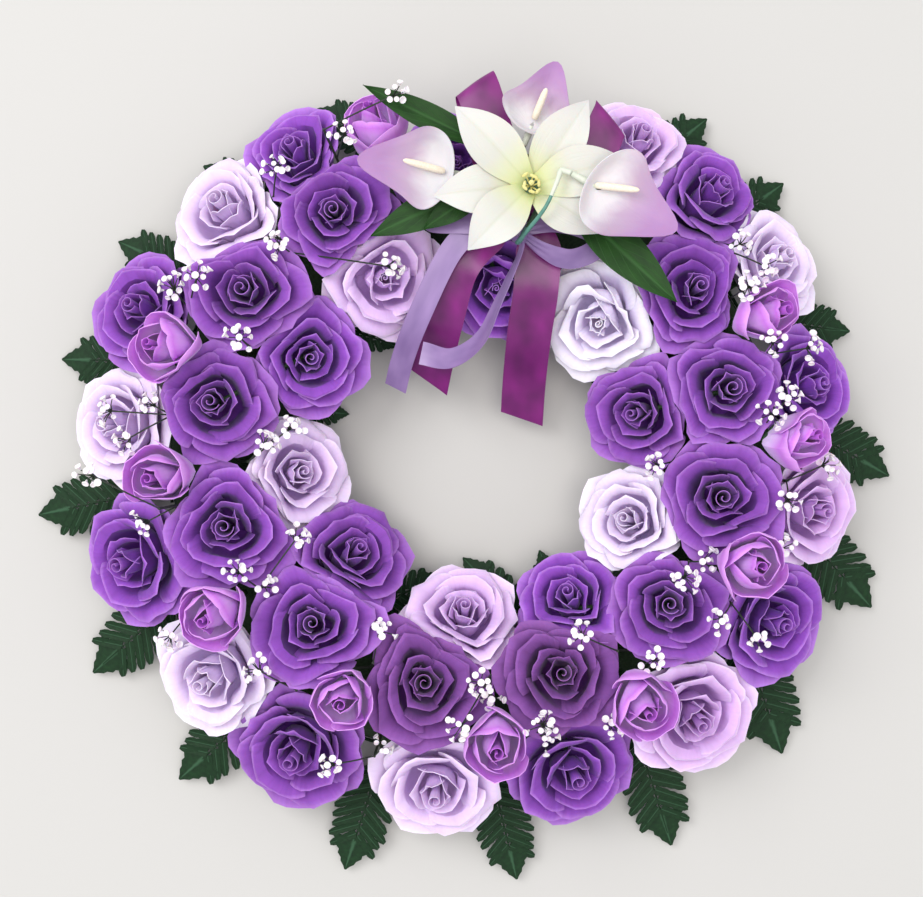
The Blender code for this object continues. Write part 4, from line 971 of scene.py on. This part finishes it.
def make_babys_breath(number, risers, tree, rods):
    """One pick of baby's breath: white florets in small clusters on dark wires."""
    draw = random.Random(f"breath_{number}")
    lines = [riser_line(riser[0]) for riser in risers]
    feet = sorted((line[0] for line in lines), key=lambda foot: math.atan2(foot.y, foot.x) % FULL_TURN)
    florets, wires = bmesh.new(), bmesh.new()
    way = creep(feet, rods)
    sweep(wires, way, [WIRE_R] * len(way), 6)
    for riser, (foot, top) in zip(risers, lines):
        highest = 0
        for x, y in riser[1:]:
            hub = Vector((x * MM, y * MM, clear_height(x * MM, y * MM, 0.056, tree, 0.0088)))
            share, bend, end = sprig_way(foot, top, hub, tree)
            start = foot.lerp(top, share)
            highest = max(highest, share)
            path = [Vector(p) for p in spline([start, bend, end], np.linspace(0, 1, 6))]
            sweep(wires, path, [SPRIG_R * 0.6] * 6, 5)
            along = ((end - bend).normalized() + UP * 0.8).normalized()
            frame_of = along.to_track_quat("Z", "Y").to_matrix()
            count = draw.randint(9, 12)
            turn = draw.uniform(0, FULL_TURN)
            stretch = Vector((math.cos(turn), math.sin(turn), 0))
            for k in range(count):
                tilt = 0.25 if k == 0 else draw.uniform(0.5, 1.45)
                angle = FULL_TURN * k * 0.382 + turn
                out = frame_of @ Vector((math.sin(tilt) * math.cos(angle), math.sin(tilt) * math.sin(angle),
                                         math.cos(tilt)))
                reach = draw.uniform(2.8, 5.4) * MM * (1 + 0.6 * abs(out.dot(stretch)))
                while reach > 0.003 and room_at(end + out * reach, tree) < 0.0026:
                    reach *= 0.85
                far = end + out * reach
                sweep(wires, [end - along * 0.001, end.lerp(far, 0.5) + along * 0.0002, far + out * 0.0006],
                      [0.0004, 0.0003, 0.0003], 4)
                aside = Vector([draw.uniform(-0.5, 0.5) for _ in range(3)])
                faces_way = (out + UP * 0.5 + aside).normalized()
                size = FLORET_R * draw.uniform(0.8, 1.2)
                place = (Matrix.Translation(far) @ faces_way.to_track_quat("Z", "Y").to_matrix().to_4x4()
                         @ Matrix.Scale(size, 4))
                before = len(florets.verts)
                florets.from_mesh(floret_mesh)
                florets.verts.ensure_lookup_table()
                bmesh.ops.transform(florets, matrix=place, verts=florets.verts[before:])
        path = [foot, foot.lerp(top, highest * 0.5), foot.lerp(top, highest + 0.01)]
        sweep(wires, path, [SPRIG_R] * 3, 6)
    node_name = f"babys_breath_{number + 1}"
    finish_piece(f"breath_florets_{number + 1}", florets, finishes["floret"], [node_name])
    finish_piece(f"breath_wires_{number + 1}", wires, finishes["wire"], [node_name])


# Lily spray

# How wide a lily petal and a lance leaf are from foot to tip, as shares of their full width
LILY_OUTLINE = [(0.36,), (0.58,), (0.82,), (0.97,), (1.0,), (0.90,), (0.68,), (0.36,), (0.0,)]
LANCE_OUTLINE = [(0.08,), (0.18,), (0.38,), (0.70,), (0.96,), (1.0,), (0.84,), (0.50,), (0.0,)]


def make_lily():
    """Six pointed petals in two layers, their throat, and short yellow stamens round a pistil."""
    middle = Vector(LILY) * MM
    bm = new_cloth()
    for number, petals in enumerate(LILY_LAYERS):
        for direction, length in petals:
            draw = random.Random(direction)
            angle = math.radians(direction)
            out = np.array((math.cos(angle), math.sin(angle), 0))
            across = np.array((-math.sin(angle), math.cos(angle), 0))
            verts, u, v = lay_grid(bm, 14, 22)
            wide = spline(LILY_OUTLINE, v)[:, 0]
            half = np.maximum(wide, 0.0) * LILY_PETAL_W / 2
            rise = spline([(-3.0,), (1.6,), (4.6,), (6.4,), (6.3,), (5.0,), (1.6,)], v)[:, 0]
            rise = rise + 1.7 * wide * np.abs(u) ** 1.5 - 0.5 * np.exp(-(u / 0.12) ** 2) * np.sin(math.pi * v)
            rise = rise + 0.7 * np.sin(9 * v + draw.uniform(0, 6)) * np.sign(u) * np.abs(u) ** 3 * wide
            points = (np.array(LILY) + out * (length * (0.03 + 0.97 * v))[:, None]
                      + across * (u * half)[:, None] + np.array(UP) * (rise - 2.6 * number)[:, None])
            put(bm, verts, points * MM, v)
    finish_piece("lily_petals", bm, lily_cloth, ["lily_flower"], PETAL_CLOTH)
    throat = new_cloth()
    sweep(throat, [middle + UP * z * MM for z in (-10.5, -8, -5, -2, 1.2)],
          [r * MM for r in (1.6, 2.4, 3.4, 4.2, 4.4)], 14)
    finish_piece("lily_throat", throat, finishes["stem"], ["lily_flower"])
    stamens = bmesh.new()
    draw = random.Random(7)
    sweep(stamens, [middle + UP * z * MM for z in (1, 4, 7, 9.5, 10.2)],
          [r * MM for r in (0.9, 0.8, 0.8, 1.5, 0.8)], 8)
    for k in range(8):
        angle = FULL_TURN * k / 8 + draw.uniform(-0.2, 0.2)
        out = Vector((math.cos(angle), math.sin(angle), 0))
        top = middle + (out * draw.uniform(3.6, 6.4) + UP * draw.uniform(6, 9)) * MM
        foot = middle + (out * 1.4 + UP * 1.0) * MM
        sweep(stamens, [foot, foot.lerp(top, 0.6) + UP * 0.0008, top], [0.0005, 0.0004, 0.0004], 5)
        lay = out.cross(UP) + UP * draw.uniform(-0.4, 0.4) + out * draw.uniform(-0.5, 0.5)
        lay.normalize()
        sweep(stamens, [top + lay * t * MM for t in (-1.9, -1.4, 0, 1.4, 1.9)],
              [r * MM for r in (0.35, 0.8, 0.95, 0.8, 0.35)], 7)
    finish_piece("lily_stamens", stamens, finishes["pollen"], ["lily_flower"])


def calla_axes(calla):
    throat, tip = Vector(calla[0]) * MM, Vector(calla[1]) * MM
    along = (tip - throat).normalized()
    side = along.cross(UP).normalized()
    return throat, (tip - throat).length, along, side, side.cross(along)


def calla_stem_end(calla):
    throat, length, along, _, up = calla_axes(calla)
    return throat - along * length * 0.09 - up * 0.0040


def make_calla(side_name, calla):
    """A calla: one rolled petal with a turned-out rim and a pointed lip, and the spadix that lies in it."""
    throat, length, along, side, up = calla_axes(calla)
    half = calla[2] / 2 * MM
    along, side, up = np.array(along), np.array(side), np.array(up)
    node_name = f"calla_{side_name}"
    bm = new_cloth()
    verts, u, v = lay_grid(bm, 48, 14)
    angle = math.pi * (u + 1)
    share = 0.06 + 0.94 * v
    far = 0.06 + 0.55 * (1 - np.cos(angle)) / 2 + 0.39 * np.maximum(0, -np.cos(angle)) ** 6
    back = (1 + np.cos(angle)) / 2
    height = half * (0.24 * np.sin(angle) ** 2 + 0.10 + 0.10 * back) * share ** 2
    height = height - 0.0031 + 0.0027 * share ** 3 - 0.0012 * blend_in(v, 0.85, 1.0)
    height = height + 0.0009 * np.sin(angle * 5 + throat.x * 90) * share ** 4
    forward = length * (0.17 + (far - 0.17) * share)
    aside = half * np.sin(angle) * share * (1 + 0.04 * np.sin(3 * angle) * share)
    points = (np.array(throat) + along * forward[:, None] + side * aside[:, None] + up * height[:, None])
    blush = np.clip((far * share - 0.10) * 1.25, 0, 1)
    put(bm, verts, points, blush)
    bmesh.ops.remove_doubles(bm, verts=bm.verts, dist=1e-6)
    finish_piece(f"calla_petal_{side_name}", bm, calla_cloth, [node_name], PETAL_CLOTH)
    neck = bmesh.new()
    base = np.array(calla_stem_end(calla))
    way = [base, base + along * length * 0.07 - up * 0.0004,
           np.array(throat) + along * length * 0.06 - up * 0.0042,
           np.array(throat) + along * length * 0.17 - up * 0.0036]
    sweep(neck, way, [0.0016, 0.0018, 0.0021, 0.0012], 12)
    finish_piece(f"calla_neck_{side_name}", neck, finishes["calla_base"], [node_name])
    spadix = bmesh.new()
    first, last, swing = SPADIX[side_name]
    start = np.array(throat) + along * length * first - up * 0.0004
    end = (np.array(throat) + along * length * (first + (last - first) * math.cos(math.radians(swing)))
           + side * length * (last - first) * math.sin(math.radians(swing)) + up * 0.0056)
    shares = (0, 0.04, 0.2, 0.5, 0.8, 0.95, 1.0)
    sweep(spadix, [start + (end - start) * s for s in shares],
          [r * MM for r in (1.0, 1.7, 2.0, 2.0, 1.8, 1.3, 0.5)], 12)
    finish_piece(f"calla_spadix_{side_name}", spadix, finishes["spadix"], [node_name])


def make_spray_greens():
    """The stem of the spray with its branches, and the lance-shaped leaves."""
    fork = Vector(FORK) * MM
    foot = seat(fork)
    lily_base = Vector(LILY) * MM + UP * (-0.0105 - CLEAR)
    bm = bmesh.new()
    sweep(bm, [foot - (fork - foot).normalized() * 0.002, foot.lerp(fork, 0.5), fork + UP * 0.001],
          [STEM_R] * 3, 10)
    ways = {"lily": [fork - UP * 0.002, lily_base - UP * 0.0015, lily_base]}
    for side, calla in CALLAS.items():
        end, along = calla_stem_end(calla), calla_axes(calla)[2]
        if side == "right":
            over = [Vector(p) * MM for p in spline(CALLA_STEM_OVER_LILY, np.linspace(0, 1, 33))]
            ways[side] = over + [end - along * CLEAR * 1.3]
        else:
            ways[side] = [fork - UP * 0.001, end - along * 0.006, end - along * CLEAR]
    for side in ("lily", "left", "top"):
        sweep(bm, ways[side], [STEM_R * 0.8] * len(ways[side]), 8)
    sweep(bm, ways["right"][:9], [STEM_R * 0.8] * 9, 8)
    finish_piece("spray_stems", bm, finishes["stem"], ["spray_stem"])
    over = ways["right"][8:]
    crest = 17
    teal = bmesh.new()
    sweep(teal, over[:crest + 1], [STEM_R * r for r in np.linspace(0.85, 0.55, crest + 1)], 10)
    finish_piece("calla_stem_over_lily", teal, finishes["teal"], ["spray_stem"])
    pale = bmesh.new()
    sweep(pale, over[crest:], [STEM_R * r for r in np.linspace(0.6, 0.95, len(over) - crest)], 10)
    finish_piece("calla_stem_pale_end", pale, finishes["calla_base"], ["spray_stem"])
    leaves = new_cloth()
    coarse = [Vector(p) * MM for p in spline(CALLA_STEM_OVER_LILY, np.linspace(0, 1, 9))]
    for side, share, tip, width in LANCE_LEAVES:
        first, second = (coarse[0], coarse[1]) if side == "right" else (ways[side][0], ways[side][1])
        root, tip = first.lerp(second, share), Vector(tip) * MM
        way = tip - root
        across = np.array(UP.cross(way).normalized())
        verts, u, v = lay_grid(leaves, 10, 22)
        wide = spline(LANCE_OUTLINE, v)[:, 0]
        half = np.maximum(wide, 0) * width / 2 * MM
        lift = 0.0017 * np.abs(u) * wide + 0.0008 * np.sin(7 * v) * u ** 2 + 0.0012 * np.sin(math.pi * v)
        points = (np.array(root) + np.array(way) * v[:, None] + across * (u * half)[:, None]
                  + np.array(UP) * lift[:, None])
        put(leaves, verts, points, np.abs(u) ** 6)
    finish_piece("lance_leaves", leaves, finishes["leaf"], ["spray_stem"], LEAF)


# Satin bows

def make_ribbon(bow, length, width, knot, material, node_name):
    """One length of ribbon along its way, gathered where it meets the knot."""
    bm = new_cloth()
    points = np.array(length.points, float)
    rows = 56
    path = spline(points, np.linspace(0, 1, rows + 1)) * MM
    away = Vector((*(path[rows // 2] - path[0])[:2], 0)).normalized()
    fold = Matrix.Rotation(math.radians(length.skew), 3, "Z") @ Vector((away.y, -away.x, 0))
    halves = []
    for k in range(rows + 1):
        along = Vector(path[min(k + 1, rows)] - path[max(k - 1, 0)]).normalized()
        level = fold if length.skew else Vector((along.y, -along.x, 0)).normalized()
        tilt = math.radians(length.tilts[0] + (length.tilts[1] - length.tilts[0]) * (k / rows) ** length.hold)
        half = Matrix.Rotation(tilt, 3, along) @ level
        if halves and half.dot(halves[-1]) < 0:
            half = -half
        halves.append(half)
    for _ in range(4):
        halves[1:-1] = [(a + 2 * b + c).normalized() for a, b, c in zip(halves, halves[1:], halves[2:])]
    distance = np.linalg.norm(path - np.array(knot) * MM, axis=1)
    gathered = 0.4 + 0.6 * np.minimum(1, distance / 0.025)
    halves = np.array([list(h) for h in halves]) * (width * MM / 2 * gathered)[:, None]
    run = np.concatenate([[0], np.cumsum(np.linalg.norm(np.diff(path, axis=0), axis=1))])
    verts, u, v = lay_grid(bm, 10, rows)
    v = v * (1 - length.slant * (1 + u) / 2)
    place = v * rows
    low = np.minimum(place.astype(int), rows - 1)
    t = (place - low)[:, None]
    middle, half = path[low] * (1 - t) + path[low + 1] * t, halves[low] * (1 - t) + halves[low + 1] * t
    along = path[low + 1] - path[low]
    normal = np.cross(half, along)
    normal = normal / np.maximum(np.linalg.norm(normal, axis=1), 1e-12)[:, None]
    pleat = np.clip(1 - np.interp(place, np.arange(rows + 1), distance) / 0.022, 0, 1)
    lift = 0.0008 * pleat * np.cos(3 * math.pi * u) + 0.0004 * (u ** 2 - 0.4) + 0.0003 * np.sin(8 * v + 2 * u)
    put(bm, verts, middle + half * u[:, None] + normal * lift[:, None], v)
    piece = finish_piece(f"{bow}_{length.name}", bm, material, [node_name], RIBBON)
    return piece, float(run[-1])


def make_bow(bow, knot, size, lengths, width, material, node_name):
    pieces = [make_ribbon(bow, length, width, knot, material, node_name) for length in lengths]
    bm = new_cloth()
    verts, u, v = lay_grid(bm, 24, 14)
    angle, rise = math.pi * u, math.pi * (v - 0.5)
    round_off = np.maximum(np.cos(rise), 0.02) * (1 + 0.06 * np.cos(angle * 9))
    points = np.stack([size[0] * np.sin(rise), size[1] * round_off * np.cos(angle),
                       size[2] * round_off * np.sin(angle)], axis=1)
    put(bm, verts, (points + np.array(knot)) * MM, v)
    bmesh.ops.remove_doubles(bm, verts=bm.verts, dist=1e-6)
    bmesh.ops.holes_fill(bm, edges=[e for e in bm.edges if e.is_boundary])
    finish_piece(f"{bow}_knot", bm, material, [node_name])


# Foam ring

def make_foam_ring():
    """The foam body on its plastic tray, whose flat back the wreath rests on."""
    tray_h = 0.005
    body = bmesh.new()
    count = 22
    start = math.asin(tray_h / SECTION_R)
    angles = [start + (math.pi - 2 * start) * k / count for k in range(count + 1)]
    foam_r = SECTION_R - 0.0003
    section = [body.verts.new((RING_R + foam_r * math.cos(a), 0, foam_r * math.sin(a))) for a in angles]
    section.reverse()
    for first, second in zip(section, section[1:] + section[:1]):
        body.edges.new((first, second))
    bmesh.ops.spin(body, geom=body.verts[:] + body.edges[:], cent=(0, 0, 0), axis=(0, 0, 1), angle=FULL_TURN,
                   steps=180, use_merge=True, use_duplicate=False)
    bmesh.ops.remove_doubles(body, verts=body.verts, dist=1e-6)
    draw = random.Random(11)
    for vert in body.verts:
        if vert.co.z > tray_h + 0.002:
            core = Vector((vert.co.x, vert.co.y, 0)).normalized() * RING_R
            vert.co += (core - vert.co).normalized() * draw.uniform(0, 0.0005)
    finish_piece("foam_body", body, finishes["foam"], ["foam_ring"])
    tray = bmesh.new()
    outer, inner = RING_R + SECTION_R, RING_R - SECTION_R
    wall, floor_z, bevel = 0.0018, 0.0035, 0.001
    corners = [(outer - bevel, 0), (outer, bevel), (outer, tray_h), (outer - wall, tray_h),
               (outer - wall, floor_z), (inner + wall, floor_z), (inner + wall, tray_h), (inner, tray_h),
               (inner, bevel), (inner + bevel, 0)]
    section = [tray.verts.new((x, 0, z)) for x, z in corners]
    for first, second in zip(section, section[1:] + section[:1]):
        tray.edges.new((first, second))
    bmesh.ops.spin(tray, geom=tray.verts[:] + tray.edges[:], cent=(0, 0, 0), axis=(0, 0, 1), angle=FULL_TURN,
                   steps=120, use_merge=True, use_duplicate=False)
    bmesh.ops.remove_doubles(tray, verts=tray.verts, dist=1e-6)
    finish_piece("foam_tray", tray, finishes["tray"], ["foam_ring"], sharp=35)


# The dressed wreath

dressing = bpy.data.collections.new("wreath_dressing")
bpy.context.scene.collection.children.link(dressing)
finishes = make_finishes()
lily_cloth, calla_cloth = lily_finish(), calla_finish()

foam_tree = tree_of(["foam_ring"])
flower_tree = tree_of([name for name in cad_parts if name.startswith("rose")])

heads = {}
for kind, table in (("rose_purple", PURPLE_ROSES), ("rose_light", LIGHT_ROSES), ("rosebud", ROSEBUDS)):
    for letter, bloom in table.items():
        heads[f"{kind}_{letter}"] = bloom
stems = {key: (key, seat(neck_of(bloom)), neck_of(bloom), STEM_R) for key, bloom in heads.items()}
riser_rods = [("riser", *riser_line(riser[0]), WIRE_R) for pick in BABYS_BREATH for riser in pick]
fork = Vector(FORK) * MM
spray_rod = ("spray_stem", seat(fork), fork, STEM_R)
rods = list(stems.values()) + riser_rods + [spray_rod]
node_of = {key: key for key in heads}
for first, second in FORKED:
    node_of[f"rose_purple_{first}"] = node_of[f"rose_purple_{second}"] = f"rose_purple_{first}{second}"

make_foam_ring()
for key, bloom in heads.items():
    # The heart: its turns and where they start, its inner and outer radius, its foot and its top
    kind, letter = key.rsplit("_", 1)
    draw = random.Random(key + "heart")
    planes = planes_round(key, heads, rods)
    if kind == "rosebud":
        heart = (1.2, draw.uniform(0, 6), 0.03, 0.13, -0.4, 0.64)
        make_flower(f"silk_bud_{letter}", BUD, heart, bloom, planes, 0.0, finishes["bud"],
                                      node_of[key])
        continue
    heart = (1.5, draw.uniform(0, 6), 0.025, 0.11, -0.30, 0.50)
    if kind == "rose_purple":
        dusk = max(draw.uniform(0, 0.4), DUSKY_ROSES.get(letter, 0))
        make_flower(f"silk_rose_purple_{letter}", ROSE, heart, bloom, planes, dusk,
                                      finishes["purple"], node_of[key])
    else:
        make_flower(f"silk_rose_light_{letter}", ROSE, heart, bloom, planes,
                                      WHITENESS[letter], finishes["light"], node_of[key])
links = [(calyx_of(PURPLE_ROSES[first]), calyx_of(PURPLE_ROSES[second])) for first, second in FORKED]
make_greens("flower_stems", heads, links, rods, finishes["sepal"])

stem_rods = list(stems.values()) + [spray_rod]
floret_mesh = floret_shape()
all_risers = [riser for pick in BABYS_BREATH for riser in pick]
clusters_of = {riser: list(riser[1:]) for riser in all_risers}
for cluster in EXTRA_CLUSTERS:
    clusters_of[min(all_risers, key=lambda riser: math.dist(riser[0], cluster))].append(cluster)
for number, pick in enumerate(BABYS_BREATH):
    make_babys_breath(number, [(riser[0], *clusters_of[riser]) for riser in pick], flower_tree, stem_rods)
bpy.data.meshes.remove(floret_mesh)

for number, fronds in enumerate(OUTER_FRONDS):
    make_ferns(f"fronds_outer_{number + 1}", fronds, 1, finishes["fern"], f"fern_outer_{number + 1}")
for number, fronds in enumerate(INNER_FRONDS):
    make_ferns(f"fronds_inner_{number + 1}", fronds, -1, finishes["fern"], f"fern_inner_{number + 1}")

make_lily()
for side, calla in CALLAS.items():
    make_calla(side, calla)
make_spray_greens()
make_bow("plum_bow", PLUM_KNOT, (7, 6, 3.2), PLUM_LENGTHS, PLUM_W, finishes["plum"], "bow_plum")
make_bow("lavender_bow", LAVENDER_KNOT, (5, 5, 5.7), LAVENDER_LENGTHS, LAVENDER_W, finishes["lavender"],
         "bow_lavender")


# Floor, light and camera

def make_stage():
    bm = bmesh.new()
    bmesh.ops.create_grid(bm, x_segments=1, y_segments=1, size=3)
    mesh = bpy.data.meshes.new("floor")
    bm.to_mesh(mesh)
    bm.free()
    floor = bpy.data.objects.new("floor", mesh)
    bpy.context.scene.collection.objects.link(floor)
    material, _, shader = new_finish("floor_paint", 0.8)
    shader.inputs["Base Color"].default_value = (0.548, 0.541, 0.522, 1)
    mesh.materials.append(material)


def add_light(name, place, size, power, colour):
    light = bpy.data.lights.new(name, "AREA")
    light.size, light.energy, light.color = size, power, colour
    lamp = bpy.data.objects.new(name, light)
    lamp.location = place
    lamp.rotation_euler = (Vector((0, 0, 0.03)) - Vector(place)).to_track_quat("-Z", "Y").to_euler()
    bpy.context.scene.collection.objects.link(lamp)


def add_camera():
    """Straight above the wreath, as in the photograph, whose width spans 553.8 mm of the floor."""
    height, span = 0.9, 0.5538
    aside, ahead = -0.0063, 0.0033
    camera = bpy.data.cameras.new("camera")
    camera.sensor_width = 36
    camera.lens = camera.sensor_width * height / span
    holder = bpy.data.objects.new("camera", camera)
    holder.location = RING_MIDDLE + Vector((aside, ahead, height))
    bpy.context.scene.collection.objects.link(holder)
    bpy.context.scene.camera = holder


make_stage()
add_light("window", (-1.6, 1.2, 2.6), 1.8, 52, (1.0, 0.99, 0.98))
add_light("room", (0.15, -0.1, 3.0), 2.2, 44, (1.0, 0.95, 0.88))
world = bpy.data.worlds.new("room_light")
world.use_nodes = True
world.node_tree.nodes["Background"].inputs["Color"].default_value = (0.93, 0.95, 1.0, 1)
world.node_tree.nodes["Background"].inputs["Strength"].default_value = 0.80
bpy.context.scene.world = world
bpy.context.scene.view_settings.view_transform = "Standard"
add_camera()
